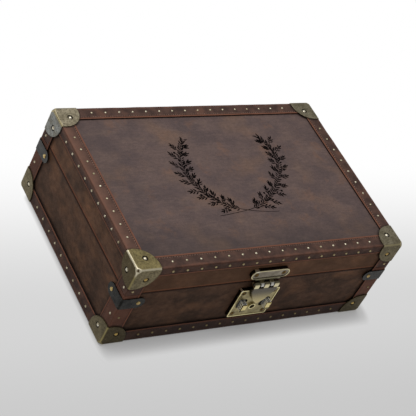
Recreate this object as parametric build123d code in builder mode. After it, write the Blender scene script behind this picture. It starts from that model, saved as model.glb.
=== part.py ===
from build123d import *
import os
from math import sqrt

os.makedirs("parts", exist_ok=True)

# Case, measured over the brass corner caps
case_width = 300.0
case_depth = 198.0
base_height = 66.5         # table to the middle of the seam
lid_height = 34.1          # middle of the seam to the top
seam_gap = 0.6

# Layers of a wall, from the outside in
cap_sheet = 1.0
trim_leather = 1.5
cover_leather = 1.2
board = 8.0
lining = 1.0

# Leather strips over the edges
edge_leg = 15.0            # their width on the top and on the bottom, from the cap's face
lid_edge_drop = 11.2       # how far they come down the lid's sides
base_edge_rise = 15.0      # how far they come up the base's sides
upright_leg = 17.0         # width of the upright strips on each side of a corner
edge_round = 1.2

# Tacks in the strips
tack_head = 1.3            # radius
tack_dome = 0.85
tack_shank = 0.55          # radius
tack_length = 5.0
tack_pitch = 14.87
tack_row_end = 38.5        # last tack to the case's end
tack_inset = 7.5           # rows on the top and bottom, to the case's edge
lid_tack_drop = 6.4        # rows on the lid's sides, below the top
base_tack_rise = 8.0       # rows on the base's sides, above the table
upright_tack_inset = 7.0

# Corner caps: three leaves, each a disc cut off at the folds
leaf_radius = 19.8
leaf_centre = 5.0          # the disc's centre to both folds
cap_blunt = 4.5            # the flat at the very corner takes this much off each fold
cap_nail_inset = 13.3
cap_nail_hole = 2.5        # radius
cap_nail_head = 2.1        # radius
cap_nail_dome = 0.5        # how far the head stands out of the cap
nail_shank = 0.8           # radius, corner and clamp nails
nail_length = 8.0
flush_depth = 0.1          # the nails under the case stay this far inside the cap

# Seam clamps round the upright corners
clamp_sheet = 1.0
clamp_height = 13.0
clamp_arm = 25.0
clamp_drop = 10.5          # its middle, below the seam
clamp_nail_head = 2.2      # radius
clamp_nail_dome = 1.1
shank_clearance = 0.1      # round a shank where it passes through metal

# Back hinges
hinge_place = 85.0         # middle of a hinge to the middle of the case
hinge_width = 44.0
hinge_leaf = 1.6
hinge_reach = 19.0         # pin to the end of a leaf
hinge_barrel = 2.6         # radius
hinge_stand = 0.3          # barrel to the leather behind it
hinge_pin = 1.1            # radius
hinge_knuckles = 5
hinge_screw_spread = 15.0
hinge_screw_row = 11.0     # pin to the outer screws
hinge_screw_step = 4.0     # the middle screw stands this much further out
running_clearance = 0.05   # radial, pin in a turning knuckle
knuckle_gap = 0.15
leaf_gap = 0.4             # barrel to a leaf's straight edge

# Screws of the hinges and the lock
screw_head = 2.2           # radius
screw_dome = 0.9
screw_shank = 0.9          # radius
screw_length = 6.5         # below the head
screw_slot = 0.6
screw_slot_depth = 0.45

# Hasp: a plate on the lid and a hinged flap
plate_width = 42.6
plate_height = 11.4
plate_rise = 11.6          # its middle, above the seam
plate_thickness = 3.5
plate_rim = 1.1
plate_rim_rise = 0.6
plate_screw_spread = 31.0
lip_height = 2.6
barrel_length = 27.8
hasp_knuckles = 5
flap_thickness = 2.8       # also the radius of the hasp's barrel
hasp_pin_radius = 1.2
pin_end = 0.4              # the pin stands out of the barrel by this much
arm_thickness = 2.0
flap_width = 28.0
flap_shoulder = 4.4        # height of the flap's straight sides
flap_drop = 25.4           # pin to the flap's tip
flap_tip = 3.0             # radius
flap_waist = 8.6           # radius of the swelling between shoulder and tip
flap_edge = 0.6
flap_gap = 0.8             # flap to the lock's rim
prong_place = 7.0          # middle of a prong to the middle of the flap
prong_thickness = 2.0
prong_height = 3.5
prong_depth = 3.4

# Lock on the base
lock_width = 44.0
lock_height = 37.4
lock_settle = 0.55         # it sits this far below halfway from the base's trim to the hasp's barrel
lock_depth = 4.2
lock_corner = 1.6
lock_wall = 1.5
lock_face = 1.2
lock_rim = 1.2
lock_rim_rise = 0.5
lock_screw_inset = 4.7
back_plate = 0.6
back_plate_gap = 0.2
window_place = 13.0        # middle of a window to the middle of the lock
window_drop = 0.8          # lock's middle to the windows' middle
window_width = 10.0
window_height = 12.0
window_corner = 3.0        # radius
notch_side = 0.6           # room on each side of a prong
notch_foot = 1.0           # room below a prong
keyway_drop = 4.8          # lock's middle to the key's axis
boss_radius = 3.7
boss_rise = 1.7
plug_radius = 2.6
plug_recess = 1.0
key_slot_width = 1.2
key_slot_length = 3.8
key_slot_depth = 2.6
cam_stem = 1.4             # radius
cam_thickness = 1.0
cam_length = 5.0
cam_end = 1.6              # radius of its free end

# Squeeze tabs
tab_travel = 2.5
tab_play = 0.3             # slide plate to the sheets in front and behind
tab_outset = 0.8           # post to the middle of its window, at rest
post_width = 5.0
post_height = 9.0
post_length = 5.7          # out of the lock's rim
rib_width = 0.7            # grooves along the post
rib_depth = 0.6
side_rib_pitch = 2.8
end_rib_pitch = 1.4
slide_lap = 1.6            # slide plate past the window's upper and lower edges
slide_reach = 19.9         # middle of the lock to the plate's outer end
slide_length = 11.3
catch_width = 2.5
catch_gap = 0.3            # catch to the flap's prong
catch_neck = 3.0           # height of the strip that joins it to the slide plate
spring_radius = 0.75
spring_bore = 0.45
spring_post = 1.0          # half its width
spring_post_height = 3.0
spring_drop = 2.1          # lower edge of the catch's strip to the springs

# Inside
columns = 5
rows = 2
divider = 3.0
divider_height = 40.0
lap_clearance = 0.1
pillow_side_gap = 2.25
pillow_end_gap = 8.0
pillow_height = 42.0
pillow_round = 17.0
pillow_edge = 4.0
pad_thickness = 5.0
pad_gap = 0.5
pad_edge = 2.0

# Outer faces of each layer, from the middle of the case
cap_x, cap_y = case_width / 2, case_depth / 2
trim_x, trim_y = cap_x - cap_sheet, cap_y - cap_sheet
hollow_blunt = cap_blunt + sqrt(3) * cap_sheet
cover_x, cover_y = trim_x - trim_leather, trim_y - trim_leather
board_x, board_y = cover_x - cover_leather, cover_y - cover_leather
room_x, room_y = board_x - board, board_y - board
clear_x, clear_y = room_x - lining, room_y - lining

# Heights of the layers
case_height = base_height + lid_height
base_rim = base_height - seam_gap / 2
lid_rim = base_height + seam_gap / 2
trim_foot, trim_head = cap_sheet, case_height - cap_sheet
cover_foot, cover_head = trim_foot + trim_leather, trim_head - trim_leather
board_foot, board_head = cover_foot + cover_leather, cover_head - cover_leather
floor_top, ceiling = board_foot + board, board_head - board
floor_cloth = floor_top + lining

# The lock stands out in front and the hinges behind: the origin is midway between their outer faces
lock_front = cover_y + lock_depth
hinge_axis_y = cover_y + hinge_stand + hinge_barrel
mid_y = (lock_front + post_length - hinge_axis_y - hinge_barrel) / 2
middle = Plane((0, mid_y, 0), x_dir=(1, 0, 0), z_dir=(0, 1, 0))


def level(height):
    """Horizontal plane through the middle of the case."""
    return Plane((0, mid_y, height))


def front_face(reach):
    """Plane facing forwards, with X and height as its own directions."""
    return Plane((0, mid_y - reach, 0), x_dir=(1, 0, 0), z_dir=(0, -1, 0))


def back_face(reach):
    return Plane((0, mid_y + reach, 0), x_dir=(-1, 0, 0), z_dir=(0, 1, 0))


def left_face(reach):
    return Plane((-reach, mid_y, 0), x_dir=(0, -1, 0), z_dir=(-1, 0, 0))


def right_face(reach):
    return Plane((reach, mid_y, 0), x_dir=(0, 1, 0), z_dir=(1, 0, 0))


def across(x, reach, height):
    """Plane square to X, with front-to-back and height as its own directions."""
    return Plane((x, mid_y + reach, height), x_dir=(0, 1, 0), z_dir=(1, 0, 0))


def save(piece, name):
    """Label a finished piece and write it as its own file."""
    piece.part.label = name
    export_step(piece.part, f"parts/{name}.step")


def spaced(half, pitch):
    """Even places from -half to half, as near to the pitch as whole steps allow."""
    steps = max(1, round(2 * half / pitch))
    return [2 * half * step / steps - half for step in range(steps + 1)]


# Carcass boards: top and bottom panels over long boards, with the end boards between them


def flat_sheet(name, half_x, half_y, low, high):
    with BuildPart() as sheet:
        with BuildSketch(level(low)):
            Rectangle(2 * half_x, 2 * half_y)
        extrude(amount=high - low)
    save(sheet, name)


def wall_boards(half, low, high):
    with BuildPart() as long_boards:
        with BuildSketch(level(low)):
            with Locations((0, -(board_y - board / 2)), (0, board_y - board / 2)):
                Rectangle(2 * board_x, board)
        extrude(amount=high - low)
    save(long_boards, f"{half}_long_boards")
    with BuildPart() as end_boards:
        with BuildSketch(level(low)):
            with Locations((-(board_x - board / 2), 0), (board_x - board / 2, 0)):
                Rectangle(board, 2 * room_y)
        extrude(amount=high - low)
    save(end_boards, f"{half}_end_boards")


flat_sheet("base_bottom_board", board_x, board_y, board_foot, floor_top)
flat_sheet("lid_top_board", board_x, board_y, ceiling, board_head)
wall_boards("base", floor_top, base_rim - cover_leather)
wall_boards("lid", lid_rim + cover_leather, ceiling)

# Leather covers: a band round the sides, turned in over the boards at the seam, and a sheet on the flat


def side_cover(half, rim, flat):
    low, high = min(rim, flat), max(rim, flat)
    turn_in = rim if rim < flat else rim - cover_leather
    with BuildPart() as cover:
        with BuildSketch(level(low)):
            Rectangle(2 * cover_x, 2 * cover_y)
            Rectangle(2 * board_x, 2 * board_y, mode=Mode.SUBTRACT)
        extrude(amount=high - low)
        with BuildSketch(level(turn_in)):
            Rectangle(2 * cover_x, 2 * cover_y)
            Rectangle(2 * room_x, 2 * room_y, mode=Mode.SUBTRACT)
        extrude(amount=cover_leather)
    save(cover, f"{half}_side_leather")


side_cover("base", base_rim, board_foot)
side_cover("lid", lid_rim, board_head)
flat_sheet("base_bottom_leather", cover_x, cover_y, cover_foot, board_foot)
flat_sheet("lid_top_leather", cover_x, cover_y, board_head, cover_head)

# Edge strips: an angle of leather over each long edge, mitred under the caps


def blunting(corner, inward, leg):
    """The plane that takes a corner off the case, this far back along each of its edges."""
    return Plane(tuple(place + way * leg / 3 for place, way in zip(corner, inward)), z_dir=inward)


def edge_strip(name, half_length, reach, leg_face, side_end, quarter_turns):
    """Angle strip along the front edge, turned to its own side of the case."""
    inward = 1 if side_end > leg_face else -1
    leg_inside = leg_face + inward * trim_leather
    leg_end = reach + cap_sheet - edge_leg
    side_inside = reach - trim_leather
    with BuildPart() as strip:
        with BuildSketch(across(0, 0, 0)) as section:
            with BuildLine():
                Polyline(
                    (-reach, side_end), (-reach, leg_face), (-leg_end, leg_face),
                    (-leg_end, leg_inside), (-side_inside, leg_inside), (-side_inside, side_end),
                    close=True,
                )
            make_face()
            outer_corner = section.vertices().sort_by(lambda v: -v.X - inward * v.Y)[-1]
            fillet(outer_corner, edge_round)
        extrude(amount=half_length, both=True)
        for side in (-1, 1):
            mitre = Plane((side * half_length, mid_y - reach, 0), z_dir=(-side, -1, 0))
            split(bisect_by=mitre, keep=Keep.TOP)
            corner = (side * (half_length + cap_sheet), mid_y - reach - cap_sheet,
                      leg_face - inward * cap_sheet)
            split(bisect_by=blunting(corner, (-side, 1, inward), hollow_blunt), keep=Keep.TOP)
    with BuildPart() as turned:
        add(strip.part.rotate(Axis((0, mid_y, 0), (0, 0, 1)), 90 * quarter_turns))
    save(turned, name)


sides = (("front", trim_x, trim_y), ("right", trim_y, trim_x),
         ("back", trim_x, trim_y), ("left", trim_y, trim_x))
for quarter_turns, (side_name, half_length, reach) in enumerate(sides):
    edge_strip(f"base_{side_name}_edge_trim", half_length, reach, trim_foot,
               base_edge_rise, quarter_turns)
    edge_strip(f"lid_{side_name}_edge_trim", half_length, reach, trim_head,
               case_height - lid_edge_drop, quarter_turns)

# Upright strips round the four corners, between the edge strips and the seam


def upright_strips(half, low, high):
    leg = upright_leg - cap_sheet
    with BuildPart() as strips:
        with BuildSketch(level(low)) as plan:
            with BuildLine():
                Polyline(
                    (-trim_x, -trim_y), (-trim_x + leg, -trim_y), (-trim_x + leg, -cover_y),
                    (-cover_x, -cover_y), (-cover_x, -trim_y + leg), (-trim_x, -trim_y + leg),
                    close=True,
                )
            make_face()
            fillet(plan.vertices().sort_by(lambda v: v.X + v.Y)[0], edge_round)
        extrude(amount=high - low)
        mirror(about=Plane.YZ)
        mirror(about=middle)
    save(strips, f"{half}_upright_trims")


upright_strips("base", base_edge_rise, base_rim)
upright_strips("lid", lid_rim, case_height - lid_edge_drop)

# Corner caps: the leaves are cut from a folded sheet corner, made at the front left top corner

leaf_reach = leaf_centre + leaf_radius
cap_shell_planes = (level(case_height), front_face(cap_y), left_face(cap_x))
# Each face's own directions that point away from the corner
cap_inward = ((1, 1), (1, -1), (-1, -1))
cap_face_corner = ((-cap_x, -cap_y), (-cap_x, case_height), (cap_y, case_height))


def on_cap_face(face, along, down):
    """A point on one leaf's face, measured inwards from its two folds."""
    corner, inward = cap_face_corner[face], cap_inward[face]
    return (corner[0] + inward[0] * along, corner[1] + inward[1] * down)


def from_cap_corner(inset):
    """The point this far in from all three faces."""
    return (inset - cap_x, mid_y + inset - cap_y, case_height - inset)


with BuildPart() as leaf_blanks:
    for face, plane in enumerate(cap_shell_planes):
        with BuildSketch(plane):
            with Locations(on_cap_face(face, leaf_centre, leaf_centre)):
                Circle(leaf_radius)
        extrude(amount=-cap_sheet)
    with Locations(from_cap_corner(hollow_blunt / 2)):
        Box(hollow_blunt, hollow_blunt, hollow_blunt)

case_corner = from_cap_corner(0)
with BuildPart() as cap_hollow:
    with Locations(from_cap_corner(leaf_reach / 2 + cap_sheet)):
        Box(leaf_reach, leaf_reach, leaf_reach)
    split(bisect_by=blunting(case_corner, (1, 1, -1), hollow_blunt), keep=Keep.TOP)

with BuildPart() as corner_cap:
    with Locations(from_cap_corner(leaf_reach / 2)):
        Box(leaf_reach, leaf_reach, leaf_reach)
    folds = [corner_cap.edges().filter_by(axis).sort_by(key)[0] for axis, key in (
        (Axis.X, lambda e: e.center().Y - e.center().Z),
        (Axis.Y, lambda e: e.center().X - e.center().Z),
        (Axis.Z, lambda e: e.center().X + e.center().Y),
    )]
    fillet(folds, 2 * cap_sheet)
    split(bisect_by=blunting(case_corner, (1, 1, -1), cap_blunt), keep=Keep.TOP)
    add(cap_hollow.part, mode=Mode.SUBTRACT)
    add(leaf_blanks.part, mode=Mode.INTERSECT)
    for face, plane in enumerate(cap_shell_planes):
        with BuildSketch(plane):
            with Locations(on_cap_face(face, cap_nail_inset, cap_nail_inset)):
                Circle(cap_nail_hole)
        extrude(amount=-cap_sheet, mode=Mode.SUBTRACT)

mid_height = level(case_height / 2)
for half, upside_down in (("lid", False), ("base", True)):
    for end_name, at_back in (("front", False), ("back", True)):
        for side_name, at_right in (("left", False), ("right", True)):
            cap_solid = corner_cap.part
            if upside_down:
                cap_solid = cap_solid.mirror(mid_height)
            if at_back:
                cap_solid = cap_solid.mirror(middle)
            if at_right:
                cap_solid = cap_solid.mirror(Plane.YZ)
            with BuildPart() as placed_cap:
                add(cap_solid)
            save(placed_cap, f"{half}_corner_cap_{end_name}_{side_name}")

# Nails: a domed head with its flat underside at the origin, over a round shank


def domed_nail(head_radius, dome, shank_radius, length):
    ball = (head_radius ** 2 + dome ** 2) / (2 * dome)
    halfway = head_radius / 2
    with BuildPart() as nail:
        with BuildSketch(Plane.XZ):
            with BuildLine():
                ThreePointArc(
                    (0, dome), (halfway, dome - ball + sqrt(ball ** 2 - halfway ** 2)),
                    (head_radius, 0),
                )
                Polyline((head_radius, 0), (shank_radius, 0), (shank_radius, shank_radius - length),
                         (0, -length), (0, dome))
            make_face()
        revolve(axis=Axis.Z)
    return nail.part


def nails_at(name, nail, places):
    with BuildPart() as nails:
        with Locations(places):
            add(nail)
    save(nails, name)


def on_plane(plane, points):
    return [plane.location * Pos(u, v, 0) for u, v in points]


along_x = spaced(cap_x - tack_row_end, tack_pitch)
along_y = spaced(cap_y - tack_row_end, tack_pitch)
bottom_face = Plane((0, mid_y, trim_foot), x_dir=(1, 0, 0), z_dir=(0, 0, -1))


def tack_places(flat, row_height, upright_height):
    """Both rows on the flat, one row on each side and one tack in each upright leg."""
    row_x, row_y = cap_x - tack_inset, cap_y - tack_inset
    corner_x, corner_y = cap_x - upright_tack_inset, cap_y - upright_tack_inset
    points = [(u, side * row_y) for u in along_x for side in (-1, 1)]
    points += [(side * row_x, v) for v in along_y for side in (-1, 1)]
    places = on_plane(flat, points)
    for face in (front_face(trim_y), back_face(trim_y)):
        places += on_plane(face, [(u, row_height) for u in along_x])
        places += on_plane(face, [(side * corner_x, upright_height) for side in (-1, 1)])
    for face in (left_face(trim_x), right_face(trim_x)):
        places += on_plane(face, [(u, row_height) for u in along_y])
        places += on_plane(face, [(side * corner_y, upright_height) for side in (-1, 1)])
    return places


cap_tip = leaf_centre + sqrt(leaf_radius ** 2 - leaf_centre ** 2)
clamp_mid = base_height - clamp_drop
lid_upright_tack = (lid_rim + case_height - cap_tip) / 2
base_upright_tack = (cap_tip + clamp_mid - clamp_height / 2) / 2
tack = domed_nail(tack_head, tack_dome, tack_shank, tack_length)
nails_at("lid_tacks", tack,
         tack_places(level(trim_head), case_height - lid_tack_drop, lid_upright_tack))
nails_at("base_tacks", tack, tack_places(bottom_face, base_tack_rise, base_upright_tack))

cap_nail = domed_nail(cap_nail_head, cap_sheet + cap_nail_dome, nail_shank, nail_length)
flush_nail = domed_nail(cap_nail_head, cap_sheet - flush_depth, nail_shank, nail_length)


def side_nail_places(height):
    places = []
    for face in (front_face(trim_y), back_face(trim_y)):
        places += on_plane(face, [(side * (cap_x - cap_nail_inset), height) for side in (-1, 1)])
    for face in (left_face(trim_x), right_face(trim_x)):
        places += on_plane(face, [(side * (cap_y - cap_nail_inset), height) for side in (-1, 1)])
    return places


corner_points = [(side * (cap_x - cap_nail_inset), end * (cap_y - cap_nail_inset))
                 for side in (-1, 1) for end in (-1, 1)]
nails_at("lid_corner_nails", cap_nail,
         on_plane(level(trim_head), corner_points)
         + side_nail_places(case_height - cap_nail_inset))
with BuildPart() as base_corner_nails:
    with Locations(side_nail_places(cap_nail_inset)):
        add(cap_nail)
    with Locations(on_plane(bottom_face, corner_points)):
        add(flush_nail)
save(base_corner_nails, "base_corner_nails")

# Seam clamps: a bent plate with round ends, held by one nail in each arm

clamp_end = clamp_height / 2
clamp_nail_x = cap_x - clamp_arm + clamp_end
clamp_nail_y = cap_y - clamp_arm + clamp_end
with BuildPart() as seam_clamps:
    for face, reach, outer, nail_u in (
        (front_face, trim_y, -(trim_x + clamp_sheet), -clamp_nail_x),
        (left_face, trim_x, trim_y + clamp_sheet, clamp_nail_y),
    ):
        with BuildSketch(face(reach)):
            with Locations(((outer + nail_u) / 2, clamp_mid)):
                Rectangle(abs(outer - nail_u), clamp_height)
            with Locations((nail_u, clamp_mid)):
                Circle(clamp_end)
                Circle(nail_shank + shank_clearance, mode=Mode.SUBTRACT)
        extrude(amount=clamp_sheet)
    outer_bend = seam_clamps.edges().filter_by(Axis.Z).sort_by(
        lambda e: e.center().X + e.center().Y)[0]
    fillet(outer_bend, 2 * clamp_sheet)
    mirror(about=Plane.YZ)
    mirror(about=middle)
save(seam_clamps, "seam_clamps")

clamp_nail = domed_nail(clamp_nail_head, clamp_nail_dome, nail_shank, nail_length)
clamp_nail_places = []
for face in (front_face, back_face):
    clamp_nail_places += on_plane(face(trim_y + clamp_sheet),
                                  [(-clamp_nail_x, clamp_mid), (clamp_nail_x, clamp_mid)])
for face in (left_face, right_face):
    clamp_nail_places += on_plane(face(trim_x + clamp_sheet),
                                  [(-clamp_nail_y, clamp_mid), (clamp_nail_y, clamp_mid)])
nails_at("clamp_nails", clamp_nail, clamp_nail_places)

# Slotted screws, shared by the hinges and the lock

screw_hole = screw_shank + shank_clearance


def slotted_screw(length):
    with BuildPart() as screw:
        add(domed_nail(screw_head, screw_dome, screw_shank, length))
        with Locations((0, 0, screw_dome)):
            Box(2 * screw_head, screw_slot, 2 * screw_slot_depth, mode=Mode.SUBTRACT)
    return screw.part


# Back hinges: two butt hinges whose pins stand just behind the leather, level with the seam


def hinge_leaves(name, up, own_knuckles, bore):
    """Both leaves of one half: up is 1 for the lid and -1 for the base."""
    plate_start = hinge_barrel + leaf_gap
    plate_mid = base_height + up * (plate_start + hinge_reach) / 2
    pitch = hinge_width / hinge_knuckles
    tongue_height = plate_start + leaf_gap
    with BuildPart() as leaves:
        with BuildSketch(back_face(cover_y)):
            with Locations((-hinge_place, plate_mid), (hinge_place, plate_mid)):
                Rectangle(hinge_width, hinge_reach - plate_start)
            with Locations(hinge_screw_points(up)):
                Circle(screw_hole, mode=Mode.SUBTRACT)
        extrude(amount=hinge_leaf)
        for place in (-hinge_place, hinge_place):
            for knuckle in own_knuckles:
                start = place - hinge_width / 2 + knuckle * pitch + knuckle_gap
                with BuildSketch(across(start, hinge_axis_y, base_height)):
                    Circle(hinge_barrel)
                    with Locations((cover_y - hinge_axis_y + hinge_leaf / 2,
                                    up * tongue_height / 2)):
                        Rectangle(hinge_leaf, tongue_height)
                extrude(amount=pitch - 2 * knuckle_gap)
            with BuildSketch(across(place - hinge_width / 2, hinge_axis_y, base_height)):
                Circle(bore)
            extrude(amount=hinge_width, mode=Mode.SUBTRACT)
    save(leaves, name)


def hinge_screw_points(up):
    """Three screws a leaf, the middle one further from the pin."""
    points = []
    for place in (-hinge_place, hinge_place):
        for step in (-1, 0, 1):
            row = hinge_screw_row + (hinge_screw_step if step == 0 else 0)
            points.append((place + step * hinge_screw_spread, base_height + up * row))
    return points


hinge_leaves("hinge_base_leaves", -1, range(0, hinge_knuckles, 2), hinge_pin)
hinge_leaves("hinge_lid_leaves", 1, range(1, hinge_knuckles, 2), hinge_pin + running_clearance)
with BuildPart() as hinge_pins:
    for place in (-hinge_place, hinge_place):
        with BuildSketch(across(place - hinge_width / 2, hinge_axis_y, base_height)):
            Circle(hinge_pin)
        extrude(amount=hinge_width)
save(hinge_pins, "hinge_pins")
hinge_face = back_face(cover_y + hinge_leaf)
hinge_screw = slotted_screw(screw_length)
nails_at("hinge_base_screws", hinge_screw, on_plane(hinge_face, hinge_screw_points(-1)))
nails_at("hinge_lid_screws", hinge_screw, on_plane(hinge_face, hinge_screw_points(1)))

# Heights of the lock's pieces, from the lock's own middle, and of the prongs just inside its upper wall

lock_mid = (base_edge_rise + base_height - flap_thickness) / 2 - lock_settle
lock_top = lock_mid + lock_height / 2
key_height = lock_mid - keyway_drop
window_mid = lock_mid - window_drop
prong_high = lock_top - lock_wall
prong_mid = prong_high - prong_height / 2
notch_low = prong_high - prong_height - notch_foot

# Hasp plate on the lid: a rimmed plate whose lip carries two arms round the flap's pin

hasp_axis_y = -(lock_front + flap_gap)
plate_mid = base_height + plate_rise
plate_low = plate_mid - plate_height / 2
hasp_pitch = barrel_length / hasp_knuckles
arm_back = -hasp_axis_y - flap_thickness
arm_front = arm_back + arm_thickness
arm_height = plate_low - base_height


def hasp_knuckle_starts(own_knuckles):
    return [knuckle * hasp_pitch - barrel_length / 2 + knuckle_gap for knuckle in own_knuckles]


plate_screw_points = [(-plate_screw_spread / 2, plate_mid), (plate_screw_spread / 2, plate_mid)]
with BuildPart() as hasp_plate:
    with BuildSketch(front_face(cover_y)):
        with Locations((0, plate_mid)):
            SlotOverall(plate_width, plate_height)
    extrude(amount=plate_thickness)
    with BuildSketch(front_face(cover_y + plate_thickness)):
        with Locations((0, plate_mid)):
            SlotOverall(plate_width, plate_height)
            SlotOverall(plate_width - 2 * plate_rim, plate_height - 2 * plate_rim,
                        mode=Mode.SUBTRACT)
    extrude(amount=plate_rim_rise)
    with BuildSketch(front_face(cover_y)):
        with Locations((0, plate_low)):
            Rectangle(barrel_length, lip_height)
    extrude(amount=arm_front - cover_y)
    for start in hasp_knuckle_starts(range(1, hasp_knuckles, 2)):
        with BuildSketch(across(start, hasp_axis_y, base_height)):
            Circle(flap_thickness)
            with Locations((flap_thickness - arm_thickness / 2, arm_height / 2)):
                Rectangle(arm_thickness, arm_height)
        extrude(amount=hasp_pitch - 2 * knuckle_gap)
    with BuildSketch(across(-barrel_length / 2, hasp_axis_y, base_height)):
        Circle(hasp_pin_radius)
    extrude(amount=barrel_length, mode=Mode.SUBTRACT)
    with BuildSketch(front_face(cover_y)):
        with Locations(plate_screw_points):
            Circle(screw_hole)
    extrude(amount=plate_thickness, mode=Mode.SUBTRACT)
save(hasp_plate, "hasp_plate")

nails_at("hasp_plate_screws", slotted_screw(screw_length + plate_thickness),
         on_plane(front_face(cover_y + plate_thickness), plate_screw_points))

with BuildPart() as hasp_pin:
    with BuildSketch(across(-barrel_length / 2 - pin_end, hasp_axis_y, base_height)):
        Circle(hasp_pin_radius)
    extrude(amount=barrel_length + 2 * pin_end)
save(hasp_pin, "hasp_pin")

# Hasp flap: a shield hung on three knuckles, with two prongs behind it for the tabs' catches

flap_top = base_height - flap_thickness - leaf_gap
tip_centre = base_height - flap_drop + flap_tip
flap_neck = base_height - flap_top + flap_edge
shoulder_low = flap_top - flap_shoulder
waist_centre = (shoulder_low + tip_centre) / 2
with BuildPart() as hasp_flap:
    with BuildSketch(front_face(-hasp_axis_y)):
        with Locations((0, flap_top - flap_shoulder / 2)):
            Rectangle(flap_width, flap_shoulder)
        with Locations((0, waist_centre)):
            Circle(flap_waist)
        with Locations((0, tip_centre)):
            Circle(flap_tip)
        make_hull()
    extrude(amount=flap_thickness)
    front_outline = hasp_flap.faces().sort_by(Axis.Y)[0].edges()
    chamfer(front_outline, flap_edge)
    for start in hasp_knuckle_starts(range(0, hasp_knuckles, 2)):
        with BuildSketch(across(start, hasp_axis_y, base_height)):
            Circle(flap_thickness)
            with Locations((-flap_thickness / 2, -flap_neck / 2)):
                Rectangle(flap_thickness, flap_neck)
        extrude(amount=hasp_pitch - 2 * knuckle_gap)
    with BuildSketch(across(-barrel_length / 2, hasp_axis_y, base_height)):
        Circle(hasp_pin_radius + running_clearance)
    extrude(amount=barrel_length, mode=Mode.SUBTRACT)
    with BuildSketch(front_face(-hasp_axis_y)):
        with Locations((-prong_place, prong_mid), (prong_place, prong_mid)):
            Rectangle(prong_thickness, prong_height)
    extrude(amount=-prong_depth)
save(hasp_flap, "hasp_flap")

# Lock case on the base: a shallow pressed box with a raised rim, windows and a key boss

face_reach = cover_y + lock_depth - lock_rim_rise
hollow_depth = lock_depth - lock_rim_rise - lock_face
lock_screw_points = [
    (side * (lock_width / 2 - lock_screw_inset), lock_mid + end * (lock_height / 2 - lock_screw_inset))
    for side in (-1, 1) for end in (-1, 1)
]
with BuildPart() as lock_case:
    with BuildSketch(front_face(cover_y)):
        with Locations((0, lock_mid)):
            RectangleRounded(lock_width, lock_height, lock_corner)
    extrude(amount=lock_depth - lock_rim_rise)
    with BuildSketch(front_face(face_reach)):
        with Locations((0, lock_mid)):
            RectangleRounded(lock_width, lock_height, lock_corner)
            RectangleRounded(lock_width - 2 * lock_rim, lock_height - 2 * lock_rim,
                             lock_corner / 2, mode=Mode.SUBTRACT)
    extrude(amount=lock_rim_rise)
    with BuildSketch(front_face(face_reach)):
        with Locations((0, key_height)):
            Circle(boss_radius)
    extrude(amount=boss_rise)
    with BuildSketch(front_face(cover_y)):
        with Locations((0, lock_mid)):
            Rectangle(lock_width - 2 * lock_wall, lock_height - 2 * lock_wall)
    extrude(amount=hollow_depth, mode=Mode.SUBTRACT)
    with BuildSketch(front_face(cover_y)):
        with Locations((-window_place, window_mid), (window_place, window_mid)):
            RectangleRounded(window_width, window_height, window_corner)
        with Locations(lock_screw_points):
            Circle(screw_hole)
        with Locations((0, key_height)):
            Circle(plug_radius + running_clearance)
        with Locations((-prong_place, (notch_low + lock_top) / 2),
                       (prong_place, (notch_low + lock_top) / 2)):
            Rectangle(prong_thickness + 2 * notch_side, lock_top - notch_low)
    extrude(amount=lock_depth + boss_rise, mode=Mode.SUBTRACT)
save(lock_case, "lock_case")

slide_high = window_mid + window_height / 2 + slide_lap
spring_height = slide_high - catch_neck - spring_drop
slide_back = cover_y + back_plate + tab_play
slide_thickness = hollow_depth - back_plate - 2 * tab_play
spring_reach = slide_back + slide_thickness / 2
with BuildPart() as lock_back_plate:
    with BuildSketch(front_face(cover_y)):
        with Locations((0, lock_mid)):
            Rectangle(lock_width - 2 * (lock_wall + back_plate_gap),
                      lock_height - 2 * (lock_wall + back_plate_gap))
        with Locations(lock_screw_points):
            Circle(screw_hole, mode=Mode.SUBTRACT)
    extrude(amount=back_plate)
    with BuildSketch(front_face(cover_y + back_plate)):
        with Locations((0, spring_height)):
            Rectangle(2 * spring_post, spring_post_height)
    extrude(amount=hollow_depth - back_plate - tab_play)
save(lock_back_plate, "lock_back_plate")
nails_at("lock_case_screws", slotted_screw(screw_length + lock_depth - lock_rim_rise),
         on_plane(front_face(face_reach), lock_screw_points))

# Squeeze tabs: a ribbed post on a slide plate, with a catch that stands inside the flap's prong

post_mid = window_place + tab_outset
catch_outer = prong_place - prong_thickness / 2 - catch_gap
slide_inner = slide_reach - slide_length
with BuildPart() as left_tab:
    with BuildSketch(front_face(slide_back)):
        with Locations((-(slide_reach + slide_inner) / 2, window_mid)):
            Rectangle(slide_length, window_height + 2 * slide_lap)
        with Locations((-(catch_outer - catch_width / 2), (slide_high - catch_neck + prong_high) / 2)):
            Rectangle(catch_width, prong_high - slide_high + catch_neck)
        with Locations((-(catch_outer - catch_width + slide_inner) / 2, slide_high - catch_neck / 2)):
            Rectangle(slide_inner - catch_outer + catch_width, catch_neck)
    extrude(amount=slide_thickness)
    with BuildSketch(front_face(slide_back + slide_thickness)):
        with Locations((-post_mid, window_mid)):
            Rectangle(post_width, post_height)
            with Locations((-post_width / 2, 0)):
                with GridLocations(0, side_rib_pitch, 1, 3):
                    Rectangle(2 * rib_depth, rib_width, mode=Mode.SUBTRACT)
            with GridLocations(end_rib_pitch, post_height, 2, 2):
                Rectangle(rib_width, 2 * rib_depth, mode=Mode.SUBTRACT)
    extrude(amount=lock_front + post_length - slide_back - slide_thickness)
save(left_tab, "left_tab")
with BuildPart() as right_tab:
    add(left_tab.part.mirror(Plane.YZ))
save(right_tab, "right_tab")

for name, start in (("left_tab_spring", -slide_inner), ("right_tab_spring", spring_post)):
    with BuildPart() as tab_spring:
        with BuildSketch(across(start, -spring_reach, spring_height)):
            Circle(spring_radius)
            Circle(spring_bore, mode=Mode.SUBTRACT)
        extrude(amount=slide_inner - spring_post)
    save(tab_spring, name)

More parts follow.
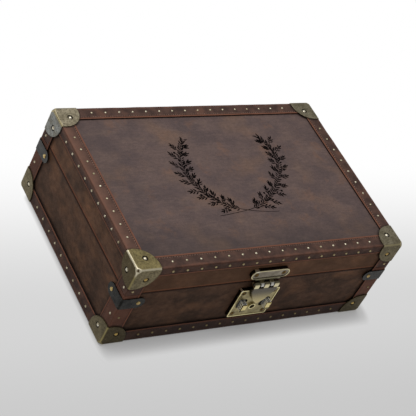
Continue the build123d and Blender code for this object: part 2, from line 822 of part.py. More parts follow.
# Key plug in the boss, and the cam on its stem

plug_face = face_reach + boss_rise - plug_recess
plug_back = cover_y + hollow_depth
stem_back = cover_y + back_plate + tab_play
with BuildPart() as key_plug:
    with BuildSketch(front_face(plug_back)):
        with Locations((0, key_height)):
            Circle(plug_radius)
    extrude(amount=plug_face - plug_back)
    with BuildSketch(front_face(stem_back)):
        with Locations((0, key_height)):
            Circle(cam_stem)
    extrude(amount=plug_back - stem_back)
    with BuildSketch(front_face(plug_face)):
        with Locations((0, key_height)):
            Rectangle(key_slot_width, key_slot_length)
    extrude(amount=-key_slot_depth, mode=Mode.SUBTRACT)
save(key_plug, "key_plug")

with BuildPart() as lock_cam:
    with BuildSketch(front_face(stem_back)):
        with Locations((0, key_height)):
            Circle(plug_radius)
        with Locations((0, key_height - cam_length + cam_end)):
            Circle(cam_end)
        make_hull()
        with Locations((0, key_height)):
            Circle(cam_stem, mode=Mode.SUBTRACT)
    extrude(amount=cam_thickness)
save(lock_cam, "lock_cam")

# Suede lining of the walls and the floor, and the padded panel in the lid


def wall_lining(half, low, high):
    with BuildPart() as cloth:
        with BuildSketch(level(low)):
            Rectangle(2 * room_x, 2 * room_y)
            Rectangle(2 * clear_x, 2 * clear_y, mode=Mode.SUBTRACT)
        extrude(amount=high - low)
    save(cloth, f"{half}_wall_lining")


wall_lining("base", floor_top, base_rim)
wall_lining("lid", lid_rim, ceiling)
flat_sheet("floor_lining", clear_x, clear_y, floor_top, floor_cloth)

with BuildPart() as lid_pad:
    with BuildSketch(level(ceiling - pad_thickness)):
        Rectangle(2 * (clear_x - pad_gap), 2 * (clear_y - pad_gap))
    extrude(amount=pad_thickness)
    fillet(lid_pad.faces().sort_by(Axis.Z)[0].edges(), pad_edge)
save(lid_pad, "lid_pad")

# Dividers: half-lapped suede-covered boards, one along the case and one between each pair of columns

cell_x = (2 * clear_x - (columns - 1) * divider) / columns
cell_y = (2 * clear_y - (rows - 1) * divider) / rows
cross_places = [(column - (columns - 2) / 2) * (cell_x + divider) for column in range(columns - 1)]
lap_width = divider + 2 * lap_clearance
lap_height = divider_height / 2
with BuildPart() as long_divider:
    with BuildSketch(level(floor_cloth)):
        Rectangle(2 * clear_x, divider)
    extrude(amount=divider_height)
    with BuildSketch(level(floor_cloth + lap_height - lap_clearance)):
        with Locations([(x, 0) for x in cross_places]):
            Rectangle(lap_width, divider)
    extrude(amount=lap_height + lap_clearance, mode=Mode.SUBTRACT)
save(long_divider, "long_divider")

with BuildPart() as cross_dividers:
    with BuildSketch(level(floor_cloth)):
        with Locations([(x, 0) for x in cross_places]):
            Rectangle(divider, 2 * clear_y)
    extrude(amount=divider_height)
    with BuildSketch(level(floor_cloth)):
        with Locations([(x, 0) for x in cross_places]):
            Rectangle(divider, lap_width)
    extrude(amount=lap_height, mode=Mode.SUBTRACT)
save(cross_dividers, "cross_dividers")

# Watch pillows: one in each compartment, round in section for the strap to go about it

with BuildPart() as pillow:
    with BuildSketch(across(0, 0, floor_cloth + pillow_height / 2)):
        RectangleRounded(cell_y - 2 * pillow_end_gap, pillow_height, pillow_round)
    extrude(amount=cell_x / 2 - pillow_side_gap, both=True)
    fillet(pillow.faces().filter_by(Axis.X).edges(), pillow_edge)

with BuildPart() as watch_pillows:
    with GridLocations(cell_x + divider, cell_y + divider, columns, rows):
        add(pillow.part)
save(watch_pillows, "watch_pillows")

print("case height", case_height, "middle of the case at Y", mid_y)
print("compartments", cell_x, "by", cell_y, "pillow top", floor_cloth + pillow_height)
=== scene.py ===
"""The looks of the leather watch box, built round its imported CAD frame.

Sizes are in millimetres. Places inside a finish are in metres, as the object's own coordinates are.
"""
import math
import random

import bmesh
import bpy
from mathutils import Matrix, Vector, noise
from mathutils.bvhtree import BVHTree


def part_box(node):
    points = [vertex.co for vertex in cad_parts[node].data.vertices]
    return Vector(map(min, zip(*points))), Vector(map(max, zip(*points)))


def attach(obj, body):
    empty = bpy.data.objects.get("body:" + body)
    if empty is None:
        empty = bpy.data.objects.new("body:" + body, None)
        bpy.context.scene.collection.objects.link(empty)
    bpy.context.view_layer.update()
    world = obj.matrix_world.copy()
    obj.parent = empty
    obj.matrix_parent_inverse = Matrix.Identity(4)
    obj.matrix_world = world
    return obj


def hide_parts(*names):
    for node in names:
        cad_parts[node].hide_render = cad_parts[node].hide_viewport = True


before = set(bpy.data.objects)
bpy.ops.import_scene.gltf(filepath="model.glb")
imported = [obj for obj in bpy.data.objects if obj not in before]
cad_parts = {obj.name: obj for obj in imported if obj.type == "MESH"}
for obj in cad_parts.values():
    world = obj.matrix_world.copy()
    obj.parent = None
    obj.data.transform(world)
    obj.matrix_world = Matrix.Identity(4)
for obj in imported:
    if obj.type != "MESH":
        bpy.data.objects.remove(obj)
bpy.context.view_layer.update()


# The carcass: plain poplar boards, eight millimetres thick, butted and glued.
# Leather outside and suede inside hide them once the box is finished.
def tone(red, green, blue):
    """A colour as the eye sees it, each part from 0 to 255."""
    parts = [part / 255 for part in (red, green, blue)]
    return tuple(p / 12.92 if p <= 0.04045 else ((p + 0.055) / 1.055) ** 2.4 for p in parts) + (1.0,)


class Value:
    """A number, colour or place in a node tree. A sum on it makes the nodes that work it out."""

    def __init__(self, nodes, socket):
        self.nodes = nodes
        self.socket = socket

    def sum(self, operation, first, second):
        """Adds the node for one sum, on numbers or on places."""
        if self.socket.type != "VECTOR":
            return self.nodes.make("ShaderNodeMath", {"operation": operation}, {0: first, 1: second})
        first, second = [(v,) * 3 if isinstance(v, (int, float)) else v for v in (first, second)]
        return self.nodes.make("ShaderNodeVectorMath", {"operation": operation}, {0: first, 1: second})

    def __add__(self, other):
        return self.sum("ADD", self, other)

    def __radd__(self, other):
        return self.sum("ADD", other, self)

    def __sub__(self, other):
        return self.sum("SUBTRACT", self, other)

    def __rsub__(self, other):
        return self.sum("SUBTRACT", other, self)

    def __mul__(self, other):
        return self.sum("MULTIPLY", self, other)

    def __rmul__(self, other):
        return self.sum("MULTIPLY", other, self)

    def __abs__(self):
        return self.sum("ABSOLUTE", self, 0.0)

    def least(self, other):
        return self.sum("MINIMUM", self, other)

    def most(self, other):
        return self.sum("MAXIMUM", self, other)

    def rise(self, low, high):
        """0 below low, 1 above high, and a soft step between."""
        settings = {"interpolation_type": "SMOOTHSTEP"}
        return self.nodes.make("ShaderNodeMapRange", settings, {0: self, 1: low, 2: high})

    def parts(self):
        """A place's or a colour's three numbers."""
        node = self.nodes.make("ShaderNodeSeparateXYZ", {}, {0: self}).socket.node
        return [Value(self.nodes, socket) for socket in node.outputs]


class Nodes:
    """A node tree while it is being put together."""

    def __init__(self, tree):
        self.tree = tree

    def make(self, kind, settings, values, out=0):
        """Adds a node: its kind, its settings, and a value or a link for each input."""
        node = self.tree.nodes.new(kind)
        for name, setting in settings.items():
            setattr(node, name, setting)
        for key, value in values.items():
            self.feed(node.inputs[key], value)
        return Value(self, node.outputs[out])

    def feed(self, socket, value):
        """Sets an input, or links it to another node."""
        if isinstance(value, Value):
            self.tree.links.new(value.socket, socket)
        else:
            socket.default_value = value


class Finish(Nodes):
    """One material, from its first node to its last."""

    def __init__(self, name):
        self.material = bpy.data.materials.new(name)
        self.material.use_nodes = True
        super().__init__(self.material.node_tree)
        self.coat = self.tree.nodes["Principled BSDF"]

    def place(self):
        """The point on the object, in metres."""
        return self.make("ShaderNodeTexCoord", {}, {}, "Object")

    def mark(self, name):
        """A number that the mesh carries at each of its points."""
        return self.make("ShaderNodeAttribute", {"attribute_name": name}, {}, "Fac")

    def cloud(self, place, size, detail, rough=0.5, seed=(0.0, 0.0, 0.0)):
        """Soft random patches of about that size in millimetres, from 0 to 1."""
        values = {"Vector": place + seed, "Scale": 1000 / size, "Detail": detail, "Roughness": rough}
        return self.make("ShaderNodeTexNoise", {}, values)

    def blend(self, share, first, second):
        """The first colour where share is 0, and the second where it is 1."""
        return self.make("ShaderNodeMix", {"data_type": "RGBA"}, {0: share, 6: first, 7: second}, 2)

    def shade(self, colour, amount):
        """A colour made darker or lighter by a number."""
        grey = self.make("ShaderNodeCombineXYZ", {}, {0: amount, 1: amount, 2: amount})
        settings = {"data_type": "RGBA", "blend_type": "MULTIPLY"}
        return self.make("ShaderNodeMix", settings, {0: 1.0, 6: colour, 7: grey}, 2)

    def done(self, colour, rough, metal=0.0, height=None, depth=0.1, gloss=0.5):
        """Closes the finish. height is a relief from 0 to 1, and depth its size in millimetres."""
        self.coat.inputs["Specular IOR Level"].default_value = gloss
        self.feed(self.coat.inputs["Base Color"], colour)
        self.feed(self.coat.inputs["Roughness"], rough)
        self.feed(self.coat.inputs["Metallic"], metal)
        if height is not None:
            values = {"Strength": 1.0, "Distance": depth / 1000, "Height": height}
            self.feed(self.coat.inputs["Normal"], self.make("ShaderNodeBump", {}, values))
        return self.material


def dress(piece, material):
    """Gives a piece its finish."""
    piece.data.materials.clear()
    piece.data.materials.append(material)


poplar = Finish("carcass_poplar")
along_grain = poplar.place() * (0.08, 1.0, 1.0)
rings = poplar.cloud(along_grain, 9.0, 4.0)
poplar_colour = poplar.blend(rings, tone(176, 143, 104), tone(143, 109, 74))
poplar.done(poplar_colour, 0.7, height=rings, depth=0.1)
for name in ("base_bottom_board", "base_long_boards", "base_end_boards",
             "lid_top_board", "lid_long_boards", "lid_end_boards"):
    dress(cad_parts[name], poplar.material)


# The sides of the box: one band of waxed, pulled-up leather round the base and one round the lid.
# Each is glued to the boards and turned in over them at the seam, where the bent edge wears red.
MID_Y = 2.2                    # the case's middle, front to back
COVER_X, COVER_Y = 147.5, 96.5  # the leather's outside, from the middle
COVER = 1.2                    # the leather's thickness
TURNED_IN = 9.2                # how far it is turned in over the boards at the seam
BASE_SEAM, LID_SEAM = 66.2, 66.8
COVER_FOOT, COVER_HEAD = 2.5, 98.1
CAP_X, CAP_Y = 150.0, 99.0     # the corner caps' outside, from the middle
HALF_HEIGHT = 50.3             # half the height over the corner caps
SIDES = ("front", "right", "back", "left")


def spot(side, along, reach, height):
    """A point given from one side of the box: along it, out from the case's middle, and up."""
    return Vector({
        "front": (along, MID_Y - reach, height),
        "back": (-along, MID_Y + reach, height),
        "right": (reach, MID_Y + along, height),
        "left": (-reach, MID_Y - along, height),
    }[side])


def half_and_reach(side, half_x, half_y):
    """Half the length of a piece along that side, and the reach of its face."""
    return (half_x, half_y) if side in ("front", "back") else (half_y, half_x)


def eased(corners):
    """An outline with each corner (across, up, radius, mark) rounded. Gives (across, up, mark) points."""
    points = []
    for index, (across, up, radius, mark) in enumerate(corners):
        corner = Vector((across, up))
        if radius == 0:
            points.append((across, up, mark))
            continue
        before = Vector(corners[index - 1][:2]) - corner
        after = Vector(corners[(index + 1) % len(corners)][:2]) - corner
        reach = min(radius, before.length * 0.48, after.length * 0.48)
        start = corner + before.normalized() * reach
        end = corner + after.normalized() * reach
        for share in (0, 0.25, 0.5, 0.75, 1):
            point = start.lerp(corner, share).lerp(corner.lerp(end, share), share)
            points.append((point.x, point.y, mark))
    return points


def linked(name, data):
    """A new object in the scene, at the origin."""
    made = bpy.data.objects.new(name, data)
    bpy.context.scene.collection.objects.link(made)
    return made


def finished(name, shape):
    """A new object from a shape that has all its faces."""
    mesh = bpy.data.meshes.new(name)
    shape.to_mesh(mesh)
    shape.free()
    return linked(name, mesh)


def crease(shape, degrees):
    """Keeps an edge sharp where its two faces turn by more than that."""
    for edge in shape.edges:
        if len(edge.link_faces) == 2 and edge.calc_face_angle(0.0) > math.radians(degrees):
            edge.smooth = False


def swept(name, outline, stations, closed=False):
    """A closed piece: its outline of (across, up, mark) points, set down by each station's function."""
    shape = bmesh.new()
    uv = shape.loops.layers.uv.new("UVMap")
    mark_of = shape.verts.layers.float.new("edge")
    run = [0.0]
    for first, second in zip(outline, outline[1:] + outline[:1]):
        run.append(run[-1] + math.hypot(second[0] - first[0], second[1] - first[1]))
    rings = []
    for station in stations:
        ring = []
        for across, up, mark in outline:
            point = shape.verts.new(station(across, up) * 0.001)
            point[mark_of] = mark
            ring.append(point)
        rings.append(ring)
    pairs = list(zip(rings, rings[1:] + rings[:1]))
    if not closed:
        pairs.pop()
    travelled = 0.0
    count = len(outline)
    for ring, following in pairs:
        step = (following[0].co - ring[0].co).length
        for index in range(count):
            after = (index + 1) % count
            face = shape.faces.new((ring[index], ring[after], following[after], following[index]))
            places = ((run[index], 0), (run[index + 1], 0), (run[index + 1], step), (run[index], step))
            for loop, (across, ahead) in zip(face.loops, places):
                loop[uv].uv = (across * 0.001, travelled + ahead)
            face.smooth = True
        travelled += step
    if not closed:
        shape.faces.new(rings[0])
        shape.faces.new(rings[-1])
    bmesh.ops.recalc_face_normals(shape, faces=shape.faces)
    crease(shape, 50)
    return finished(name, shape)


def settle(piece, material, body, node=None):
    """The piece's finish, the body it moves with and the CAD node it stands for."""
    dress(piece, material)
    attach(piece, body)
    if node:
        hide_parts(node)


def waver(point, size, amount):
    """A small fixed unevenness, for a face that hand work leaves not quite flat."""
    return noise.noise(Vector(point) / size) * amount


def band(name, seam, far, body, node, material):
    """A leather band round all four sides, with its turned rim at the seam."""
    inward = 1 if far > seam else -1
    outline = eased([
        (0, far, 0, 0), (0, (far + seam) / 2, 0, 0), (0, seam + 6 * inward, 0, 0),
        (0, seam + 2.1 * inward, 0, 0), (-0.1, seam + 1.4 * inward, 0, 0.85), (0, seam, 0.5, 1),
        (0.6, seam, 0, 0), (1.4, seam, 0, -1), (TURNED_IN, seam, 0.3, -1),
        (TURNED_IN, seam + COVER * inward, 0.3, 0), (COVER, seam + COVER * inward, 0, 0),
        (COVER, far, 0, 0),
    ])
    stations = []
    for side in SIDES:
        half, reach = half_and_reach(side, COVER_X, COVER_Y)
        steps = int(half / 6)      # a station every six millimetres
        for step in range(steps * 2):
            share = step / steps - 1
            def station(across, up, side=side, half=half, reach=reach, share=share):
                along = share * (half - across)
                uneven = waver(spot(side, along, reach, up), 26, 0.16) * (1 - abs(share) ** 8)
                return spot(side, along, reach - across + uneven * (across < 1), up)
            stations.append(station)
    settle(swept(name, outline, stations, closed=True), material, body, node)


def hide(finish, place, base, deep, warm, size):
    """The waxed leather itself: clouded brown with warm pulled-up patches, pores and fine creases.

    Gives its colour, its roughness and its relief.
    """
    drift = finish.cloud(place, size, 4.0, 0.55)
    fine = finish.cloud(place, size / 5, 4.0, 0.6, (3.0, 1.0, 2.0))
    glow = finish.cloud(place, size * 1.7, 3.0, 0.5, (7.0, 4.0, 5.0))
    pulled_up = glow.rise(0.5, 0.74)
    colour = finish.blend(drift.rise(0.35, 0.65), deep, base)
    colour = finish.blend(pulled_up * 0.75, colour, warm)
    colour = finish.shade(colour, 0.86 + 0.28 * fine)
    cells = {"Vector": place, "Scale": 1100.0}
    pores = finish.make("ShaderNodeTexVoronoi", {"feature": "DISTANCE_TO_EDGE"}, cells).rise(0.0, 0.25)
    creases = finish.cloud(place, 2.2, 3.0, 0.6)
    # The grain's cracks are painted darker, as shade in them.
    colour = finish.shade(colour, 0.84 + 0.24 * pores)
    relief = pores * 0.45 + creases * 0.55
    rough = 0.56 + 0.16 * fine - 0.08 * pulled_up
    return colour, rough, relief


def inside_faces(place):
    """How far a point lies inside the box's nearest end, its front or back, and its top or bottom."""
    across, deep, up = place.parts()
    middle_y, middle_z = MID_Y * 0.001, HALF_HEIGHT * 0.001
    return (CAP_X * 0.001 - abs(across), CAP_Y * 0.001 - abs(deep - middle_y),
            middle_z - abs(up - middle_z))


def from_folds(faces):
    """The same distances without the least: how far a point lies from the two folds of a cap's leaf."""
    from_end, from_front, from_top = faces
    farther = from_end.most(from_front)
    return from_end.least(from_front).most(farther.least(from_top)), farther.most(from_top)


def squares(first, second):
    """The square of the distance, in square millimetres, that two sides at right angles give."""
    return (first * first + second * second) * 1000000


def painted_cap_shadow(place):
    """1 in the painted shadow round a cap's rounded leaf, and 0 a little way off."""
    leaf_middle = 0.005            # metres from both folds to the middle of the leaf's round edge
    leaf_edge, shadow_edge = 392.0, 500.0  # their radii from there, squared
    over, along = [distance - leaf_middle for distance in from_folds(inside_faces(place))]
    return 1.0 - squares(over, along).rise(leaf_edge, shadow_edge)


side_leather = Finish("side_leather")
place = side_leather.place()
drawn_out = place * (0.7, 0.7, 1.0)
colour, rough, relief = hide(side_leather, drawn_out, tone(103, 76, 60), tone(77, 57, 45),
                             tone(132, 92, 65), size=15.0)
mottle = side_leather.cloud(drawn_out, 5.0, 6.0, 0.74, (4.0, 4.0, 9.0))
colour = side_leather.shade(colour, 0.08 + 1.87 * mottle)
across, deep, up = place.parts()
edge = side_leather.mark("edge")
on_lid = up.rise(0.0664, 0.0666)
# The bent edge at the seam: red wear on the lid's, while the base's, under the lid's rim, is painted dark
# as shade.
lip_wear_and_shade = side_leather.blend(on_lid, tone(66, 44, 34), tone(130, 80, 57))
colour = side_leather.blend(edge.rise(0.1, 0.9) * 0.8, colour, lip_wear_and_shade)
# A painted shadow line along the base's top, under the lid's rim.
painted_seam_shadow = up.rise(0.0645, 0.0656) * (1.0 - on_lid)
colour = side_leather.shade(colour, 1.0 - 0.35 * painted_seam_shadow)
# The leather's face in the seam, turned in over the boards, is painted dark as shade in the gap.
colour = side_leather.blend((edge * -1.0).rise(0.0, 0.6), colour, tone(44, 31, 25))
upright_x, upright_y, lower_trim, upper_trim = 0.133, 0.082, 0.015, 0.0894  # where the trims end
to_upright = (upright_x - abs(across)).most(upright_y - abs(deep - MID_Y * 0.001))
to_trim = to_upright.least(up - lower_trim).least(upper_trim - up)
wavy_edges = side_leather.cloud(place, 9.0, 4.0, 0.6, (9.0, 2.0, 4.0))
# Painted shadow on the leather along the edges of the trims, with wavy edges.
painted_trim_shadow = 1.0 - (to_trim + 0.004 * (wavy_edges - 0.5)).rise(-0.0005, 0.0045)
colour = side_leather.blend(painted_trim_shadow * 0.72, colour, tone(26, 18, 15))
# Darker towards the bottom, and a little lighter from just under the seam up.
darker_low_lighter_high = (1.0 - (up + 0.012 * (wavy_edges - 0.5)).rise(0.014, 0.038)) * 0.3 + up.rise(0.052, 0.066) * -0.12
warm_front = on_lid * (1.0 - deep.rise(-0.0935, -0.0925))
colour = side_leather.blend(warm_front * 0.22, colour, tone(150, 104, 72))
colour = side_leather.shade(colour, (1.0 - darker_low_lighter_high) * (1.0 - 0.6 * painted_cap_shadow(place)))
side_leather.done(colour, rough, height=relief, depth=0.12, gloss=0.12)
band("base_side_leather_band", BASE_SEAM, COVER_FOOT, "base", "base_side_leather", side_leather.material)
band("lid_side_leather_band", LID_SEAM, COVER_HEAD, "lid", "lid_side_leather", side_leather.material)


# The lid's top leather: one sheet of the same hide, glued flat, with its cut edge under the trims.
# Pulled tight, it keeps slow hollows that show in the sheen. It is darker towards the front and the left.
# The sheet under the bottom is laid the same way.
UNDER_TRIMS = 0.3              # the sheets stop this far inside the bands
UNEVEN = 0.12                  # the depth of the hollows


def glued_sheet(name, half_x, half_y, low, high, uneven=0.0):
    """A closed sheet. Its face at the height high is never quite flat."""
    columns, rows = 74, 48
    shape = bmesh.new()
    layers = []
    for level in (low, high):
        layer = []
        for row in range(rows + 1):
            for column in range(columns + 1):
                x = (2 * column / columns - 1) * half_x
                y = (2 * row / rows - 1) * half_y + MID_Y
                lift = waver((x, y, 0), 30, uneven) if level == high else 0
                layer.append(shape.verts.new(Vector((x, y, level + lift)) * 0.001))
        layers.append(layer)
    wide = columns + 1
    for layer in layers:
        for row in range(rows):
            for column in range(columns):
                start = row * wide + column
                around = (start, start + 1, start + wide + 1, start + wide)
                shape.faces.new([layer[i] for i in around]).smooth = True
    under, over = layers
    rim = list(range(wide))
    rim += [row * wide + columns for row in range(1, rows + 1)]
    rim += [rows * wide + column for column in range(columns - 1, -1, -1)]
    rim += [row * wide for row in range(rows - 1, 0, -1)]
    for first, second in zip(rim, rim[1:] + rim[:1]):
        shape.faces.new((under[first], under[second], over[second], over[first]))
    bmesh.ops.recalc_face_normals(shape, faces=shape.faces)
    return finished(name, shape)


top_leather = Finish("top_leather")
place = top_leather.place()
drawn_out = place * (0.8, 1.0, 1.0)
colour, rough, relief = hide(top_leather, drawn_out, tone(100, 81, 76), tone(87, 71, 69),
                             tone(114, 88, 73), size=24.0)
wisps = top_leather.cloud(place * (0.35, 1.0, 1.0), 11.0, 5.0, 0.65, (5.0, 8.0, 1.0))
colour = top_leather.blend(wisps.rise(0.52, 0.72) * 0.35, colour, tone(118, 96, 84))
smudge = top_leather.cloud(place, 22.0, 5.0, 0.66, (2.0, 6.0, 3.0))
colour = top_leather.blend(smudge.rise(0.54, 0.7) * 0.42, colour, tone(121, 87, 67))
scrape = top_leather.cloud(place * (0.06, 1.0, 1.0), 1.6, 3.0, 0.6, (1.0, 1.0, 8.0))
grain = top_leather.cloud(place * (0.6, 1.0, 1.0), 2.4, 4.0, 0.7, (6.0, 2.0, 2.0))
colour = top_leather.shade(colour, 0.44 + 0.3 * scrape + 0.74 * grain)
across, deep, _ = place.parts()
by_the_front = 1.0 - (deep + 0.03 * (wisps - 0.5)).rise(-0.088, -0.035)
by_the_left = 1.0 - across.rise(-0.14, -0.085)
colour = top_leather.shade(colour, 1.0 - 0.34 * by_the_front - 0.14 * by_the_left)
colour = top_leather.shade(colour, 1.0 - 0.5 * painted_cap_shadow(place))
top_leather.done(colour, rough, height=relief * 0.7 + scrape * 0.3, depth=0.1, gloss=0.3)
half_x, half_y = COVER_X - UNDER_TRIMS, COVER_Y - UNDER_TRIMS
piece = glued_sheet("lid_top_leather_sheet", half_x, half_y, COVER_HEAD - COVER, COVER_HEAD, UNEVEN)
settle(piece, top_leather.material, "lid", "lid_top_leather")
piece = glued_sheet("base_bottom_leather_sheet", half_x, half_y, COVER_FOOT + COVER, COVER_FOOT, UNEVEN)
settle(piece, side_leather.material, "base", "base_bottom_leather")


# The edge trims: firm strap leather bent over every long edge, mitred under the caps and tacked down.
# A raised border is pressed in along both free edges and along the fold, and takes the wear.
TRIM_X, TRIM_Y = 149.0, 98.0   # the trims' outside, from the middle
TRIM_HEAD, TRIM_FOOT = 99.6, 1.0
LID_LEG_END = 89.4             # how far down a lid trim's side leg reaches
BASE_LEG_END = 15.0            # how far up a base trim's side leg reaches
TRIM = 1.5                     # the strap's thickness
FLAT_LEG = 14.0                # how far a trim reaches in over the lid or the bottom
CAP_BLUNT = 6.35               # a corner's leather is cut back this far, to clear the cap's facet


def angle_outline(drop):
    """An angle strip seen from its end, inward from its outer face and down it. drop is its side leg."""
    flat = FLAT_LEG
    return eased([
        (flat, TRIM, 0, -1), (flat, 0.5, 0, -1), (flat, -0.15, 0.4, 0.8), (flat - 1.3, -0.2, 0.4, 1),
        (flat - 1.9, 0.1, 0.2, -0.5), (flat - 2.8, 0.05, 0, 0), (flat * 0.6, 0, 0, 0), (4.4, 0, 0, 0.02),
        (3.2, -0.05, 0, 0.15), (2.2, -0.15, 0, 0.35), (-0.25, -0.2, 1.5, 0.5), (-0.2, 2.2, 0, 0.3),
        (-0.05, 3.2, 0, 0.1), (0, 4.2, 0, 0), (0, drop * 0.6, 0, 0), (0.05, drop - 2.4, 0, 0),
        (0.05, drop - 1.6, 0.2, -0.5), (-0.15, drop - 1.2, 0.3, 1), (-0.15, drop, 0.5, 1),
        (0.6, drop, 0, -1), (TRIM, drop, 0, -1), (TRIM, TRIM, 0, 0),
    ])


def edge_trim(part, side, edge, drop, turn, material):
    """One long strip. turn is 1 under the lid's top edge and -1 over the bottom edge."""
    half, reach = half_and_reach(side, TRIM_X, TRIM_Y)
    steps = int(half / 3)          # a station every three millimetres
    stations = []
    for step in range(2 * steps + 1):
        share = step / steps - 1
        def station(across, down, share=share):
            # The end is mitred, and cut back where the cap's corner is blunt.
            along = share * (half + 1 - max(across + 1, CAP_BLUNT - across - down - 2))
            height = edge - turn * down
            point = spot(side, along, reach - across, height)
            out = waver(point, 17, 0.14)
            lift = waver(point + Vector((50, 0, 0)), 17, 0.14)
            return spot(side, along, reach - across + out, height + lift)
        stations.append(station)
    piece = swept(f"{part}_{side}_trim", angle_outline(drop), stations)
    settle(piece, material, part, f"{part}_{side}_edge_trim")


strap = Finish("strap_leather")
place = strap.place()
colour, rough, relief = hide(strap, place, tone(86, 63, 54), tone(64, 46, 40), tone(104, 72, 58), size=10.0)
across, deep, up = place.parts()
# The lid's left trim is painted lighter across its flat leg, as a highlight.
left_flat_highlight = 1.0 - across.rise(-0.152, -0.132)
colour = strap.blend(left_flat_highlight * up.rise(0.094, 0.099) * 0.55, colour, tone(132, 96, 80))
edge = strap.mark("edge")
rub = strap.cloud(place, 6.0, 5.0, 0.65, (2.0, 2.0, 2.0))
worn = (edge + (rub - 0.5) * 0.9).rise(0.15, 1.1)
colour = strap.blend(worn * edge.rise(0.0, 0.3) * 0.75, colour, tone(128, 82, 62))
below_the_top = 1.0 - up.rise(0.0975, 0.099)
from_end, from_front, _ = inside_faces(place)
by_a_corner = 1.0 - from_end.most(from_front).rise(0.0168, 0.0174)
on_base = up.rise(0.02, 0.03) * (1.0 - up.rise(0.0664, 0.0668))
colour = strap.blend(by_a_corner * on_base * 0.32, colour, tone(128, 80, 60))
# Painted light and shade: the side legs and uprights are painted lighter than the flat legs, and the legs
# on the left darker.
left_leg = 1.0 - across.rise(-0.1489, -0.1483)
colour = strap.shade(colour, (1.0 + 0.52 * below_the_top) * (1.0 - 0.24 * left_leg))
low_front = (1.0 - up.rise(0.008, 0.03)) * (1.0 - deep.rise(-0.0955, -0.0945))
colour = strap.blend(low_front * 0.6, colour, tone(26, 18, 16))
# The cut edges and the grooves beside the pressed borders are painted near-black: the cut leather's own
# dark, with painted shade in the grooves and along the edges.
colour = strap.blend((edge * -1.0).rise(0.1, 0.7), colour, tone(20, 14, 12))
colour = strap.shade(colour, 1.0 - 0.6 * painted_cap_shadow(place))
strap.done(colour, rough, height=relief, depth=0.12, gloss=0.16)
for side in SIDES:
    edge_trim("lid", side, TRIM_HEAD, TRIM_HEAD - LID_LEG_END, 1, strap.material)
    edge_trim("base", side, TRIM_FOOT, BASE_LEG_END - TRIM_FOOT, -1, strap.material)


# The upright trims: the same strap bent round each corner of the lid and of the base.
# They stop at the seam and at the long trims, with the same pressed borders.
CORNERS = {"front_left": (-1, -1), "front_right": (1, -1), "back_left": (-1, 1), "back_right": (1, 1)}
UPRIGHT_LEG = 16               # how far an upright reaches round its corner


def upright_trim(name, x_way, y_way, foot, head):
    """One upright, seen from above: along the box from the corner, and back from its face."""
    end = UPRIGHT_LEG
    outline = eased([
        (end, TRIM, 0, -1), (end, 0.5, 0, -1), (end, -0.15, 0.5, 0.6), (end - 1.2, -0.15, 0.4, 0.8),
        (end - 1.8, 0.05, 0.2, -0.4), (end - 2.8, 0, 0, 0), (8, 0, 0, 0.02), (4.2, 0, 0, 0.15),
        (2.2, -0.1, 0, 0.35), (-0.2, -0.2, 1.5, 0.45), (-0.1, 2.2, 0, 0.35), (0, 4.2, 0, 0.15),
        (0, 8, 0, 0.02), (0, end - 2.8, 0, 0), (0.05, end - 1.8, 0.2, -0.4),
        (-0.15, end - 1.2, 0.4, 0.8), (-0.15, end, 0.5, 0.6), (0.5, end, 0, -1), (TRIM, end, 0, -1),
        (TRIM, TRIM, 0, 0),
    ])
    steps = max(3, int((head - foot) / 5))  # a station about every five millimetres
    stations = []
    for step in range(steps + 1):
        height = foot + (head - foot) * step / steps
        def station(along, back, height=height):
            point = Vector((x_way * (TRIM_X - along), MID_Y + y_way * (TRIM_Y - back), height))
            return point + Vector((x_way * waver(point, 15, 0.1), y_way * waver(point * 1.3, 15, 0.1), 0))
        stations.append(station)
    return swept(name, outline, stations)


for part, foot, head in (("lid", LID_SEAM, LID_LEG_END), ("base", BASE_LEG_END, BASE_SEAM)):
    for corner, (x_way, y_way) in CORNERS.items():
        piece = upright_trim(f"{part}_{corner}_upright", x_way, y_way, foot, head)
        settle(piece, strap.material, part, f"{part}_upright_trims")


# The tacks: small domed brass-plated tacks, driven about every fifteen millimetres along the trims.
# Their places are the CAD tacks' own heads; each is turned and sized a hair differently.
def merged(node):
    """The shape of a CAD piece, with its loose triangles joined."""
    shape = bmesh.new()
    shape.from_mesh(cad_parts[node].data)
    bmesh.ops.remove_doubles(shape, verts=shape.verts, dist=1e-6)
    return shape


def heads(node, dome):
    """Where each nail of a CAD node sits, which way its head faces, and a way across the head."""
    shape = merged(node)
    found, left = [], set(shape.verts)
    while left:
        island, border = set(), [left.pop()]
        while border:
            vert = border.pop()
            island.add(vert)
            for edge in vert.link_edges:
                other = edge.other_vert(vert)
                if other in left:
                    left.discard(other)
                    border.append(other)
        low = Vector([min(v.co[i] for v in island) for i in range(3)])
        high = Vector([max(v.co[i] for v in island) for i in range(3)])
        axis = max(range(3), key=lambda i: (high - low)[i])
        middle = (low + high) / 2
        outward = Vector((0, 0, 0))
        outward[axis] = 1 if middle[axis] > (0, MID_Y, HALF_HEIGHT)[axis] * 0.001 else -1
        seat = middle.copy()
        seat[axis] = (high if outward[axis] > 0 else low)[axis] - outward[axis] * dome * 0.001
        found.append((seat, outward, Vector((outward.y, outward.z, outward.x))))
    shape.free()
    found.sort(key=lambda pair: tuple(round(c, 5) for c in pair[0]))
    return found


